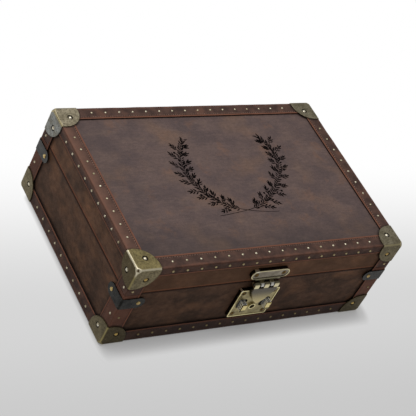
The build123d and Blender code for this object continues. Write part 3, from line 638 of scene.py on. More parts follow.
def setting_tree():
    """The nodes that set a small rounded piece on every point of a mesh, turned as the point says."""
    tree = bpy.data.node_groups.new("small_pieces", "GeometryNodeTree")
    tree.is_modifier = True
    inputs = {
        "Points": "Geometry", "Length": "Float", "Width": "Float", "Height": "Float", "Taper": "Float",
        "Facets": "Int", "Size Spread": "Float", "Lean": "Float", "Seed": "Int", "Finish": "Material",
    }
    for name, kind in inputs.items():
        tree.interface.new_socket(name, in_out="INPUT", socket_type="NodeSocket" + kind)
    tree.interface.new_socket("Pieces", in_out="OUTPUT", socket_type="NodeSocketGeometry")
    nodes = Nodes(tree)
    sockets = tree.nodes.new("NodeGroupInput").outputs
    given = {name: Value(nodes, sockets[name]) for name in inputs}

    round_all_over = {"Segments": given["Facets"], "Rings": 6, "Radius": 1.0}
    ball = nodes.make("GeometryNodeMeshUVSphere", {}, round_all_over)
    x, y, z = nodes.make("GeometryNodeInputPosition", {}, {}).parts()
    tapered = nodes.make("ShaderNodeCombineXYZ", {}, {0: x, 1: y * (1.0 - abs(x) * given["Taper"]), 2: z})
    piece = nodes.make("GeometryNodeSetPosition", {}, {"Geometry": ball, "Position": tapered})
    half_sizes = {0: given["Length"], 1: given["Width"], 2: given["Height"]}
    full_size = nodes.make("ShaderNodeCombineXYZ", {}, half_sizes)
    piece = nodes.make("GeometryNodeTransform", {}, {"Geometry": piece, "Scale": full_size})
    piece = nodes.make("GeometryNodeSetShadeSmooth", {}, {0: piece})

    carried = {"data_type": "FLOAT_VECTOR"}
    outward = nodes.make("GeometryNodeInputNamedAttribute", carried, {"Name": "outward"})
    along = nodes.make("GeometryNodeInputNamedAttribute", carried, {"Name": "along"})
    turn = nodes.make("FunctionNodeAlignRotationToVector", {"axis": "Z"}, {"Vector": outward})
    settings = {"axis": "X", "pivot_axis": "Z"}
    turn = nodes.make("FunctionNodeAlignRotationToVector", settings, {"Rotation": turn, "Vector": along})
    limits = {0: given["Lean"] * -1.0, 1: given["Lean"], "Seed": given["Seed"]}
    lean = nodes.make("FunctionNodeRandomValue", {"data_type": "FLOAT_VECTOR"}, limits)
    lean = nodes.make("FunctionNodeEulerToRotation", {}, {0: lean})
    turn = nodes.make("FunctionNodeRotateRotation", {"rotation_space": "LOCAL"}, {0: turn, 1: lean})
    limits = {2: 1.0 - given["Size Spread"], 3: 1.0, "Seed": given["Seed"]}
    scale = nodes.make("FunctionNodeRandomValue", {"data_type": "FLOAT"}, limits, 1)

    setting = {"Points": given["Points"], "Instance": piece, "Rotation": turn, "Scale": scale}
    placed = nodes.make("GeometryNodeInstanceOnPoints", {}, setting)
    real = nodes.make("GeometryNodeRealizeInstances", {}, {"Geometry": placed})
    painted = nodes.make("GeometryNodeSetMaterial", {}, {"Geometry": real, "Material": given["Finish"]})
    nodes.feed(tree.nodes.new("NodeGroupOutput").inputs[0], painted)
    return tree


small_pieces = setting_tree()


def plain_mesh(piece):
    """The mesh that a piece's modifiers make of it. The modifiers are then removed."""
    bpy.context.view_layer.update()
    made = bpy.data.meshes.new_from_object(piece.evaluated_get(bpy.context.evaluated_depsgraph_get()))
    piece.modifiers.clear()
    return made


def set_down(name, places, material, size, taper, spread, lean, seed, facets=12):
    """One plain mesh of like rounded pieces, of that length, width and height from the middle.

    Each place is a point in metres, the way out and the way along. Each piece is made smaller by a share
    of up to spread, and tilted by up to lean radians.
    """
    spots = bpy.data.meshes.new(name + "_places")
    spots.from_pydata([tuple(place[0]) for place in places], [], [])
    for column, way in ((1, "outward"), (2, "along")):
        layer = spots.attributes.new(way, "FLOAT_VECTOR", "POINT")
        layer.data.foreach_set("vector", [part for place in places for part in place[column]])
    holder = linked(name + "_places", spots)
    modifier = holder.modifiers.new("pieces", "NODES")
    modifier.node_group = small_pieces
    length, width, height = [part * 0.001 for part in size]
    settings = {
        "Length": length, "Width": width, "Height": height, "Taper": taper, "Facets": facets,
        "Size Spread": spread, "Lean": lean, "Seed": seed, "Finish": material,
    }
    for item in small_pieces.interface.items_tree:
        if item.name in settings:
            modifier[item.identifier] = settings[item.name]
    mesh = plain_mesh(holder)
    mesh.name = name
    bpy.data.objects.remove(holder)
    return linked(name, mesh)


def nail_heads(node, name, part, material, radius, dome, seed):
    """The domed heads of one kind of nail."""
    piece = set_down(name, heads(node, dome), material, (radius, radius, dome), taper=0.0, spread=0.04,
                     lean=0.06, seed=seed)
    settle(piece, material, part, node)


def plated(name, bright, dull, dark, rough, spot_size, front=None):
    """Worn metal: bright where rubbed, dull between, dark specks. The front may have its own tone."""
    finish = Finish(name)
    place = finish.place()
    patch = finish.cloud(place, spot_size * 3, 4.0, 0.6)
    speck = finish.cloud(place, spot_size / 2, 3.0, 0.7, (4.0, 4.0, 4.0))
    colour = finish.blend(patch.rise(0.35, 0.65), dull, bright)
    if front:
        on_front = 1.0 - place.parts()[1].rise(-0.0958, -0.0952)
        colour = finish.blend(on_front, colour, front)
    colour = finish.blend(speck.rise(0.6, 0.75) * 0.6, colour, dark)
    finish.done(colour, rough + 0.25 * patch, metal=1.0, height=speck, depth=0.02)
    return finish.material


TACK_RADIUS, TACK_DOME = 1.3, 0.85
tack_metal = plated("tack_metal", tone(220, 211, 188), tone(170, 157, 126), tone(84, 70, 50),
                    rough=0.25, spot_size=1.0, front=tone(186, 170, 128))
dull_tack_metal = plated("dull_tack_metal", tone(206, 196, 170), tone(158, 146, 116), tone(70, 58, 42),
                         rough=0.3, spot_size=1.0, front=tone(140, 124, 90))
for part, brass in (("lid", tack_metal), ("base", dull_tack_metal)):
    nail_heads(f"{part}_tacks", f"{part}_tack_heads", part, brass, TACK_RADIUS, TACK_DOME, 4)


# The stitching: waxed thread along the inner border of each lid trim and the free edge of each side leg,
# and up both legs of the base's uprights. It is sewn before the strap is tacked down.
PITCH = 2.6                    # one stitch to the next
UP = Vector((0, 0, 1))


def stitch_row(side, half, reach, height, outward, pitch=PITCH):
    """Stitch places along one side, as far as half on both sides of its middle."""
    count = int(2 * half / pitch)
    places = []
    for step in range(count + 1):
        along = (step - count / 2) * pitch
        here = spot(side, along, reach, height)
        ahead = spot(side, along + 1, reach, height) - here
        places.append((here * 0.001, outward, ahead))
    return places


def sewn(name, part, places, colour, seed):
    """The stitches of one part of the box."""
    thread = Finish(name + "_thread")
    twist = thread.cloud(thread.place(), 0.7, 3.0, 0.6)
    thread.done(thread.shade(colour, 0.7 + 0.6 * twist), 0.75, height=twist, depth=0.05)
    piece = set_down(name, places, thread.material, (0.85, 0.34, 0.26), taper=0.3, spread=0.25,
                     lean=0.12, seed=seed, facets=8)
    settle(piece, thread.material, part)


CLEAR_OF_CAP = 24              # the rows stop this far from the corners
FROM_LEG_END = 2.2             # a row to the end of its side leg
UPRIGHT_ROW = 13.0             # a row on an upright, from its corner
UPRIGHT_START = 27.0           # the lowest stitch on an upright
top_row, lid_row, base_row = [], [], []
for side in SIDES:
    half, reach = half_and_reach(side, TRIM_X, TRIM_Y)
    out = (spot(side, 0, 1, 0) - spot(side, 0, 0, 0)).normalized()
    top_row += stitch_row(side, half - CLEAR_OF_CAP, reach - FLAT_LEG + 2.5, TRIM_HEAD, UP)
    lid_row += stitch_row(side, half - CLEAR_OF_CAP, reach, LID_LEG_END + FROM_LEG_END, out)
    base_row += stitch_row(side, half - CLEAR_OF_CAP, reach, BASE_LEG_END - FROM_LEG_END, out)
    for along in (UPRIGHT_ROW - half, half - UPRIGHT_ROW):
        for step in range(10):
            base_row.append((spot(side, along, reach, UPRIGHT_START + step * PITCH) * 0.001, out, UP))
sewn("lid_top_stitches", "lid", top_row, tone(150, 116, 100), 3)
sewn("lid_side_stitches", "lid", lid_row, tone(96, 68, 56), 5)
sewn("base_side_stitches", "base", base_row, tone(92, 60, 50), 6)


# The wreath: two crossed sprigs of laurel, burnt into the lid's leather with a hot point.
# The burnt lines lie a hair proud of the leather's mean face, so that its hollows don't break them.
def bend(points, share):
    """A point on the smooth curve that a few points describe."""
    while len(points) > 1:
        points = [first.lerp(second, share) for first, second in zip(points, points[1:])]
    return points[0]


burnt = Finish("burnt_lines")
char = burnt.cloud(burnt.place(), 1.5, 3.0, 0.6)
charred = burnt.blend(char, tone(16, 12, 12), tone(8, 6, 7))
burnt.done(charred, 0.95, height=char, depth=0.05, gloss=0.02)
BURN_TOP = COVER_HEAD + 0.06
STALK_HALF, TWIG_HALF = 0.42, 0.26  # half the width of a burnt stalk and of a twig
ROWS = 44                      # leaf pairs along a sprig, counted from where the two cross
TWIG_LEAVES = (                # how far out along a twig, and how many degrees aside
    (0.4, 42), (0.52, -38), (0.66, 36), (0.78, -34), (0.9, 32), (1.0, 0),
)
chance = random.Random(11)
leaves, berries = [], []


def leaf(root, way, length):
    """Adds a leaf that starts at root and points that way."""
    middle = root + way * length / 2
    leaves.append((Vector((middle.x, middle.y, BURN_TOP)) * 0.001, UP, Vector((way.x, way.y, 0))))


def turned(way, degrees):
    """A flat way turned to the left by that."""
    return Matrix.Rotation(math.radians(degrees), 2) @ way


sprigs = {
    "left": [Vector(p) for p in ((-2, -36.8), (-42, -28), (-62, 16), (-29, 55.5))],
    "right": [Vector(p) for p in ((-2, -36.8), (38, -30), (88, 24), (60, 56.5))],
}
stalk_ends = {"left": ((15, -41), (32, -41.2)), "right": ((-20, -40), (-35.5, -41.4))}
for hand, curve in sprigs.items():
    outer = 1 if hand == "left" else -1
    stalk = [Vector(end) for end in reversed(stalk_ends[hand])] + [curve[0]]
    below = [bend(stalk, step / 8) for step in range(8)]
    lines = [below + [bend(curve, step / ROWS) for step in range(ROWS + 1)]]
    for step in range(3, ROWS + 1):
        share = step / ROWS
        root = bend(curve, share)
        way = (bend(curve, min(1, share + 0.01)) - bend(curve, share - 0.01)).normalized()
        for side in (-1, 1):
            leaf(root, turned(way, side * chance.uniform(26, 50)), chance.uniform(4.4, 7.0))
        if step % 2 == 0 and step < ROWS - 2:
            side = outer if step % 4 else -outer
            out = turned(way, side * chance.uniform(38, 58))
            tip = root + out * chance.uniform(9.5, 13.5) * (1.0 if side == outer else 0.8)
            lines.append([root, root.lerp(tip, 0.5) + way * 0.4, tip])
            for share_out, degrees in TWIG_LEAVES:
                aside = turned(out, degrees + chance.uniform(-8, 8))
                leaf(root.lerp(tip, share_out), aside, chance.uniform(3.8, 5.4))
        if step % 5 == 1:
            side = outer if (step // 5) % 2 else -outer
            fruit = root + turned(way, side * chance.uniform(50, 80)) * chance.uniform(4.5, 8.0)
            berries.append((Vector((fruit.x, fruit.y, BURN_TOP)) * 0.001, UP, Vector((1, 0, 0))))
            lines.append([root, root.lerp(fruit, 0.5), fruit])
    for number, line in enumerate(lines):
        width = TWIG_HALF if number else STALK_HALF
        stations = []
        for index, point in enumerate(line):
            ahead = line[min(index + 1, len(line) - 1)] - line[max(index - 1, 0)]
            aside = Vector((-ahead.y, ahead.x)).normalized()
            def station(across, up, point=point, aside=aside):
                place = point + aside * across
                return Vector((place.x, place.y, BURN_TOP + up))
            stations.append(station)
        outline = [(-width, -0.3, 0), (width, -0.3, 0), (width * 0.6, 0.04, 0), (-width * 0.6, 0.04, 0)]
        piece = swept(f"wreath_{hand}_stem_{number}", outline, stations)
        settle(piece, burnt.material, "lid")
piece = set_down("wreath_leaves", leaves, burnt.material, (2.8, 0.92, 0.1), taper=0.45, spread=0.3,
                 lean=0.0, seed=1)
settle(piece, burnt.material, "lid")
piece = set_down("wreath_berries", berries, burnt.material, (1.4, 1.4, 0.1), taper=0.0, spread=0.2,
                 lean=0.0, seed=2)
settle(piece, burnt.material, "lid")


# The corner caps: three leaves of one-millimetre sheet pressed over each corner, antiqued olive.
# The folds are rubbed back to pale metal, and the very corner stays dark where the leaves meet.
def copied(node, name, body, material, round_over, segments=2):
    """A copy of a CAD piece with its edges eased, which stands for it."""
    shape = merged(node)
    bmesh.ops.dissolve_limit(shape, angle_limit=math.radians(1), verts=shape.verts, edges=shape.edges)
    for face in shape.faces:
        face.smooth = True
    crease(shape, 30)
    piece = finished(name, shape)
    ease = piece.modifiers.new("eased_edges", "BEVEL")
    ease.width = round_over * 0.001
    ease.segments = segments
    ease.limit_method = "ANGLE"
    ease.angle_limit = math.radians(35)
    ease.use_clamp_overlap = False
    ease.harden_normals = True
    settle(piece, material, body, node)


cap_metal = Finish("antiqued_cap")
place = cap_metal.place()
across, deep, up = place.parts()
faces = inside_faces(place)
near_fold, far_fold = from_folds(faces)
patch = cap_metal.cloud(place, 7.0, 5.0, 0.65)
speck = cap_metal.cloud(place, 1.3, 5.0, 0.75, (1.0, 5.0, 3.0))
# Painted light: the top leaves are painted lighter and greyer than the side leaves, as lit from above.
top_leaf = up.rise(0.0985, 0.0995)
at_left = 1.0 - across.rise(-0.12, -0.08)
yellowed = at_left * (1.0 - deep.rise(-0.02, 0.02))
top_leaf_painted_light = cap_metal.blend(yellowed, tone(148, 140, 118), tone(136, 124, 84))
back_left = at_left * deep.rise(0.02, 0.06)
top_leaf_painted_light = cap_metal.blend(back_left, top_leaf_painted_light, tone(172, 162, 138))
left_leaf = (across * -1.0).rise(0.1488, 0.1496)
on_lid_caps = up.rise(0.05, 0.06)
olive = cap_metal.blend(left_leaf * back_left * on_lid_caps, tone(130, 119, 90), tone(138, 140, 137))
colour = cap_metal.blend(top_leaf, olive, top_leaf_painted_light)
colour = cap_metal.blend(patch.rise(0.34, 0.66) * 0.6, colour, tone(88, 80, 58))
colour = cap_metal.blend(speck.rise(0.5, 0.62) * 0.7, colour, tone(48, 42, 30))
# Painted shade: the left leaves of the lid's front caps, and the low front and left leaves of the base
# caps, are darkened and warmed.
painted_shade_left_leaf = left_leaf * on_lid_caps * (1.0 - deep.rise(-0.04, 0.0))
front_leaf = 1.0 - deep.rise(-0.0966, -0.0958)
painted_shade_low = (front_leaf * 0.54 + left_leaf * 0.16) * (1.0 - up.rise(0.03, 0.045))
# A painted reflection: the front leaf of the lid's front left cap is lightened.
painted_front_reflection = front_leaf * on_lid_caps * 0.3 * at_left
colour = cap_metal.shade(colour, 1.0 + painted_front_reflection - painted_shade_left_leaf * 0.47 - painted_shade_low)
colour = cap_metal.blend(painted_shade_left_leaf * 0.5 + painted_shade_low * 0.6, colour, tone(84, 68, 34))
colour = cap_metal.blend((1.0 - speck).rise(0.56, 0.7) * 0.35, colour, tone(176, 166, 128))
pale = cap_metal.blend(up.rise(0.090, 0.0965), tone(150, 138, 94), tone(232, 222, 194))
elsewhere = across.rise(-0.08, -0.04).most(back_left)
pale = cap_metal.blend(elsewhere * 0.75, pale, tone(160, 146, 96))
wear = 1.0 - (near_fold + 0.0008 * (patch - 0.5)).rise(0.0006, 0.0018)
colour = cap_metal.blend(wear * 0.92, colour, pale)
from_facet = faces[0] + faces[1] + faces[2]
facet_rim = 1.0 - from_facet.rise(0.0050, 0.0062)
colour = cap_metal.blend(facet_rim * 0.9, colour, pale)
facet = (1.0 - from_facet.rise(0.00452, 0.00475)) * (1.0 - far_fold.rise(0.0019, 0.0026))
colour = cap_metal.blend(facet, colour, tone(84, 66, 36))
nail_place = 0.0133            # metres from both folds to the middle of a nail
# A dark ring round each nail's hole: patina, with the nail's shadow painted in.
ring = 1.0 - squares(near_fold - nail_place, far_fold - nail_place).rise(5.6, 10.5)
colour = cap_metal.blend(ring * 0.9, colour, tone(22, 17, 12))
cap_metal.done(colour, 0.4 + 0.2 * patch - 0.14 * wear, metal=1.0, height=speck + patch, depth=0.06)
for part in ("lid", "base"):
    for corner in CORNERS:
        node = f"{part}_corner_cap_{corner}"
        copied(node, f"{part}_{corner}_cap", part, cap_metal.material, 0.2)


# The caps' nails: domed brass heads, one through each leaf into the board behind it.
# Each sits in its punched hole, ringed by its own shadow, and is brighter than the cap.
CAP_NAIL_RADIUS, CAP_NAIL_DOME = 2.1, 1.5
cap_nail_metal = plated("cap_nail_metal", tone(236, 230, 212), tone(180, 168, 136), tone(90, 76, 50),
                        rough=0.2, spot_size=1.4, front=tone(190, 160, 94))
for part in ("lid", "base"):
    nail_heads(f"{part}_corner_nails", f"{part}_cap_nail_heads", part, cap_nail_metal,
               CAP_NAIL_RADIUS, CAP_NAIL_DOME, 9)


# The seam clamps: blued sheet steel bent round each upright corner just under the seam.
# A brass nail with a broad domed head holds each end.
CLAMP_NAIL_RADIUS, CLAMP_NAIL_DOME = 2.2, 1.1


def metal(name, face, dark, worn, rough, streak=(1.0, 1.0, 1.0), size=5.0):
    """Sheet metal with drawn streaks, faint blotches and scuffs."""
    finish = Finish(name)
    place = finish.place()
    blotch = finish.cloud(place, size, 4.0, 0.6)
    drawn = finish.cloud(place * streak, 1.4, 3.0, 0.6, (2.0, 3.0, 4.0))
    scuff = finish.cloud(place, size / 3, 5.0, 0.7, (6.0, 1.0, 1.0))
    colour = finish.blend(blotch.rise(0.35, 0.65), dark, face)
    colour = finish.shade(colour, 0.85 + 0.3 * drawn)
    colour = finish.blend(scuff.rise(0.6, 0.78) * 0.6, colour, worn)
    rough = rough + 0.2 * (drawn - 0.5) + 0.1 * blotch
    finish.done(colour, rough, metal=1.0, height=drawn, depth=0.02)
    return finish.material


blued = metal("blued_steel", tone(48, 47, 44), tone(22, 22, 21), tone(176, 172, 156), rough=0.2)
copied("seam_clamps", "seam_clamp_plates", "base", blued, 0.2)
clamp_nail_metal = plated("clamp_nail_metal", tone(214, 190, 130), tone(160, 134, 84), tone(84, 66, 40),
                          rough=0.25, spot_size=1.4)
nail_heads("clamp_nails", "clamp_nail_heads", "base", clamp_nail_metal,
           CLAMP_NAIL_RADIUS, CLAMP_NAIL_DOME, 2)


# The back hinges: two butt hinges of antiqued sheet brass, with five knuckles each on a brass pin.
# Brass screws hold their leaves, flat on the leather, to the boards of the lid and of the base.
hinge_brass = metal("hinge_brass", tone(128, 116, 84), tone(108, 97, 69), tone(196, 182, 138),
                    rough=0.34, streak=(0.1, 1.0, 1.0), size=9.0)
screw_brass = metal("screw_brass", tone(176, 152, 98), tone(120, 100, 62), tone(230, 214, 166),
                    rough=0.26, size=3.0)
for part in ("lid", "base"):
    copied(f"hinge_{part}_leaves", f"hinge_{part}_plates", part, hinge_brass, 0.2)
copied("hinge_pins", "hinge_pin_wires", "base", screw_brass, 0.15)
for part in ("lid", "base"):
    copied(f"hinge_{part}_screws", f"hinge_{part}_screw_heads", part, screw_brass, 0.1)


# The lock: a cast case, the hasp's plate on the lid and its hinged flap, all in antiqued brass.
# The faces are brushed and olive grey; the raised rims are polished pale, and painted paler as a highlight.
# Screws hold both castings.
SHADOWED = tone(30, 24, 19)    # painted shade in hollows, gaps and on the side walls, over their patina
GLINT = tone(246, 240, 214)    # a painted highlight on a rim's corner
HASP_SCREWS = (15.5, 0.0, 78.1)  # how far they stand out and up from their middle, and its height
CASE_SCREWS = (17.3, 14.0, 38.8)
ARM_PLACE = 0.00556            # metres from the hasp plate's middle to the middle of an arm
TAB_X, TAB_Z = 0.0138, 0.0380  # metres, the middle of a tab's ribbed post


def lock_metal(name, face_reach, face, dark, rim, screws=None, rough=0.34):
    """Brushed antiqued brass: a cloudy face, polished rims that stand out from it, near-black side walls.

    The rims are painted paler as a highlight, and the side walls and hollows near-black as shade.
    face_reach is how far the casting's flat face stands from the case's middle. Gives the finish, its
    colour, its roughness, its brushing, and how far a point lies across, up and out.
    """
    finish = Finish(name)
    place = finish.place()
    across, deep, up = place.parts()
    reach = MID_Y * 0.001 - deep
    blotch = finish.cloud(place, 7.0, 4.0, 0.6)
    brushed = finish.cloud(place * (0.12, 1.0, 1.0), 0.9, 3.0, 0.6)
    colour = finish.blend(blotch.rise(0.3, 0.7), dark, face)
    colour = finish.shade(colour, 0.84 + 0.3 * brushed)
    if screws:
        screw_x, screw_z, middle_z = [size * 0.001 for size in screws]
        # Painted shade in the screws' sunk holes.
        off_screw = squares(abs(across) - screw_x, abs(up - middle_z) - screw_z)
        colour = finish.blend((1.0 - off_screw.rise(5.0, 8.5)) * 0.85, colour, SHADOWED)
    # The raised rims are polished, and painted paler still as a highlight.
    polish_and_highlight = reach.rise((face_reach + 0.15) * 0.001, (face_reach + 0.35) * 0.001)
    colour = finish.blend(polish_and_highlight * 0.92, colour, rim)
    # Painted shade on the side walls and in the hollows behind the face, over their patina.
    hollow = 1.0 - reach.rise((face_reach - 0.6) * 0.001, (face_reach - 0.15) * 0.001)
    colour = finish.blend(hollow * 0.94, colour, SHADOWED)
    return finish, colour, rough + 0.2 * (brushed - 0.5) - 0.12 * polish_and_highlight, brushed, (across, up, reach)


def lock_piece(node, name, body, finish, colour, rough, brushed, round_over=0.2, plating=1.0):
    """A casting of the lock, with its finish closed."""
    finish.done(colour, rough, metal=plating, height=brushed, depth=0.015)
    copied(node, name, body, finish.material, round_over)


finish, colour, rough, brushed, (across, up, _) = lock_metal(
    "hasp_plate_metal", 100.0, tone(158, 148, 130), tone(122, 113, 98), tone(224, 212, 168), HASP_SCREWS)
# Painted shade under the plate's lip.
under_lip = 1.0 - up.rise(0.0738, 0.0742)
colour = finish.blend(under_lip * 0.7, colour, SHADOWED)
arms = 1.0 - up.rise(0.0686, 0.0692)
colour = finish.blend(arms * 0.95, colour, tone(214, 212, 204))
# Painted shade in the gaps beside the arms.
arm_side = abs(abs(across) - ARM_PLACE).rise(0.0013, 0.0018)
colour = finish.blend(arms * arm_side * 0.95, colour, SHADOWED)
# A painted highlight on the rim's upper left end.
rim_end = (across * -1.0).rise(0.0144, 0.0150) * (across + 0.0190).rise(0.0, 0.0004)
glint = rim_end * up.rise(0.0826, 0.0831)
colour = finish.blend(glint, colour, GLINT)
lock_piece("hasp_plate", "hasp_plate_casting", "lid", finish, colour, rough, brushed)

finish, colour, rough, brushed, (across, up, _) = lock_metal(
    "lock_case_metal", 100.2, tone(176, 163, 118), tone(134, 122, 86), tone(238, 224, 170), CASE_SCREWS)
# The flap's painted shadow on the case's lower right.
painted_flap_shadow = across.rise(-0.006, 0.022) * (1.0 - up.rise(0.030, 0.050))
colour = finish.blend(painted_flap_shadow * 0.35, colour, tone(84, 76, 58))
# A painted highlight on the rim's upper left corner.
glint = (across * -1.0).rise(0.0206, 0.0211) * up.rise(0.0560, 0.0565)
colour = finish.blend(glint, colour, GLINT)
lock_piece("lock_case", "lock_case_casting", "base", finish, colour, rough, brushed)

# The flap's face is painted dark, as shade under the knuckles, and light towards its tip.
finish, colour, rough, brushed, (_, up, _) = lock_metal(
    "flap_metal", 103.9, tone(88, 81, 70), tone(64, 58, 50), tone(96, 90, 78), rough=0.32)
painted_light_tip = 1.0 - up.rise(0.042, 0.060)
colour = finish.blend(painted_light_tip, colour, tone(194, 178, 128))
knuckles = up.rise(0.0632, 0.0642)
colour = finish.blend(knuckles, colour, tone(232, 220, 178))
# Painted shade on the tops of the knuckles.
over_knuckles = up.rise(0.0676, 0.0686)
colour = finish.blend(over_knuckles * 0.85, colour, SHADOWED)
lock_piece("hasp_flap", "hasp_flap_casting", "hasp_flap", finish, colour, rough, brushed, 0.25)

# The plug is painted near-black: its own dark metal, with the shade of its keyway.
finish, colour, rough, brushed, _ = lock_metal(
    "plug_metal", 100.75, tone(58, 50, 38), tone(36, 30, 22), tone(58, 50, 38))
lock_piece("key_plug", "key_plug_barrel", "key_plug", finish, colour, rough, brushed, 0.12)

for hand in ("left", "right"):
    finish, colour, rough, brushed, (across, up, reach) = lock_metal(
        f"{hand}_tab_metal", 99.9, tone(252, 251, 248), tone(224, 222, 216), tone(252, 251, 248), rough=0.2)
    # Painted shade in the posts' grooves.
    off_x, off_z = abs(abs(across) - TAB_X), abs(up - TAB_Z)
    in_groove = (1.0 - off_x.rise(0.00238, 0.00246)) * (1.0 - off_z.rise(0.00436, 0.00444))
    colour = finish.blend(in_groove * 0.95, colour, SHADOWED)
    tip = reach.rise(0.1054, 0.1058)
    colour = finish.blend(tip, colour, tone(226, 208, 146))
    # Painted shade on the lower part of the tip.
    colour = finish.blend(tip * (1.0 - up.rise(0.0350, 0.0366)) * 0.8, colour, SHADOWED)
    plating = 0.5 + 0.5 * tip
    tab = f"{hand}_tab"
    lock_piece(tab, tab + "_slider", tab, finish, colour, rough, brushed, 0.12, plating)

lock_screw = metal("lock_screw_bronze", tone(132, 104, 58), tone(70, 54, 30), tone(214, 186, 122),
                   rough=0.26, size=3.0)
pin_steel = metal("hasp_pin_steel", tone(150, 150, 150), tone(96, 96, 96), tone(210, 208, 200), rough=0.3)
copied("hasp_plate_screws", "hasp_plate_screw_heads", "lid", lock_screw, 0.1)
copied("hasp_pin", "hasp_pin_wire", "lid", pin_steel, 0.1)
copied("lock_back_plate", "lock_back_sheet", "base", blued, 0.15)
copied("lock_case_screws", "lock_case_screw_heads", "base", lock_screw, 0.1)
copied("lock_cam", "lock_cam_sheet", "key_plug", blued, 0.12)
for hand in ("left", "right"):
    dress(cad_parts[f"{hand}_tab_spring"], pin_steel)


# The lining: brushed suede glued over the walls and the floor, with its cut edges left soft.
# The dividers are the same suede round thin boards, half-lapped where they cross.
LINING = 1.0                   # the suede's thickness
SOFT_EDGE = 0.45               # the rounding of its cut edges
ROOM_X, ROOM_Y = 137.3, 86.3   # the room inside the lining, from the middle
FLOOR_TOP = 12.7


def suede_finish(name, dark, light, nap_size, stroke_size):
    """Suede with a fine nap, stroked darker and lighter."""
    finish = Finish(name)
    place = finish.place()
    nap = finish.cloud(place, nap_size, 4.0, 0.7)
    stroked = finish.cloud(place, stroke_size, 3.0, 0.5, (3.0, 7.0, 2.0))
    colour = finish.blend(stroked.rise(0.25, 0.75), dark, light)
    colour = finish.shade(colour, 0.8 + 0.4 * nap)
    return finish.done(colour, 0.95, height=nap, depth=0.12, gloss=0.1)


suede = suede_finish("brushed_suede", tone(110, 90, 71), tone(121, 99, 79), nap_size=1.1, stroke_size=26.0)


def wall_lining(part):
    """The suede round the four walls of one half of the box."""
    low, high = [corner * 1000 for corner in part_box(f"{part}_wall_lining")]
    half_x, half_y = high.x, high.y - MID_Y
    foot, head = low.z, high.z
    middle = (foot + head) / 2
    outline = eased([
        (0, foot, SOFT_EDGE, 0), (0, middle, 0, 0), (0, head, SOFT_EDGE, 0),
        (LINING, head, SOFT_EDGE, 0), (LINING, middle, 0, 0), (LINING, foot, SOFT_EDGE, 0),
    ])
    stations = []
    for side in SIDES:
        half, reach = half_and_reach(side, half_x, half_y)
        for step in range(24):
            share = step / 12 - 1
            def station(across, up, side=side, half=half, reach=reach, share=share):
                return spot(side, share * (half - across), reach - across, up)
            stations.append(station)
    piece = swept(f"{part}_wall_suede", outline, stations, closed=True)
    settle(piece, suede, part, f"{part}_wall_lining")


wall_lining("base")
wall_lining("lid")
piece = glued_sheet("floor_suede", ROOM_X, ROOM_Y, FLOOR_TOP - LINING, FLOOR_TOP)
settle(piece, suede, "base", "floor_lining")
copied("long_divider", "long_divider_board", "base", suede, 0.9, 3)
copied("cross_dividers", "cross_divider_boards", "base", suede, 0.9, 3)


# The watch pillows: suede sleeves stuffed with fibre, one for each compartment, to wrap a strap round.
# A corded seam closes each sleeve at both ends, and it is fuller in its middle than at its seams.
PILLOW_HALF = Vector((24.0, 34.4, 21.0))
PILLOW_ROUND = 17.0            # the rounding of its long edges
CLOTH_CELL = 5.0               # one cell of the sleeve's mesh
COLUMN_PITCH = 55.52           # one compartment to the next along the box
ROW_REACH = 43.9               # the box's middle to the middle of a row
SEAM_X = 20.4                  # a pillow's middle to the seam at its end
CORD = 0.75                    # the radius of the cord in a seam


def block(name, half):
    """A closed block with a rounded section across X, drawn in a little at both ends."""
    ways = ((-1, -1), (1, -1), (1, 1), (-1, 1))
    outline = eased([(way_y * half.y, way_z * half.z, PILLOW_ROUND, 0) for way_y, way_z in ways])
    section = []
    for (y0, z0, _), (y1, z1, _) in zip(outline, outline[1:] + outline[:1]):
        steps = max(1, int(math.hypot(y1 - y0, z1 - z0) / CLOTH_CELL))
        section += [(y0 + (y1 - y0) * i / steps, z0 + (z1 - z0) * i / steps, 0) for i in range(steps)]
    right_half = [(0.2, 1), (0.6, 0.995), (0.9, 0.97), (0.97, 0.93), (1, 0.86)]
    left_half = [(-x, shrink) for x, shrink in reversed(right_half)]
    stations = []
    for x, shrink in left_half + right_half:
        def station(y, z, x=x, shrink=shrink):
            return Vector((x * half.x, y * shrink, z * shrink))
        stations.append(station)
    return swept(name, section, stations)


def stuffed(name):
    """The pillow's mesh: a block blown up a little as cloth, then kept inside the pillow's full size."""
    most_blown = 0.003             # metres
    last_frame = 20                # the cloth is taken as it stands at that frame
    piece = block(name, PILLOW_HALF * 0.95)
    remesh = piece.modifiers.new("even_cells", "REMESH")
    remesh.mode = "VOXEL"
    remesh.voxel_size = CLOTH_CELL * 0.001
    piece.data = plain_mesh(piece)
    start = [v.co.copy() for v in piece.data.vertices]
    cloth = piece.modifiers.new("cover", "CLOTH")
    cloth.settings.use_pressure = True
    cloth.settings.uniform_pressure_force = 4.0
    cloth.settings.effector_weights.gravity = 0.0
    for step in range(1, last_frame + 1):
        bpy.context.scene.frame_set(step)
    blown = plain_mesh(piece)
    bpy.context.scene.frame_set(1)
    limit = PILLOW_HALF * 0.001
    for vert, from_point in zip(blown.vertices, start):
        move = vert.co - from_point
        if move.length > most_blown:
            move = move.normalized() * most_blown
        place = from_point + move
        vert.co = [max(-limit[i], min(limit[i], place[i])) for i in range(3)]
    piece.data = blown
    for face in blown.polygons:
        face.use_smooth = True
    return piece


def surface(piece):
    """A piece's faces, for finding where a line meets them."""
    mesh = piece.data
    return BVHTree.FromPolygons([v.co for v in mesh.vertices], [f.vertices for f in mesh.polygons])


pillow_suede = suede_finish("pillow_suede", tone(132, 109, 87), tone(146, 122, 98), nap_size=0.9,
                            stroke_size=14.0)
pattern = stuffed("pillow_pattern")
pillow_face = surface(pattern)


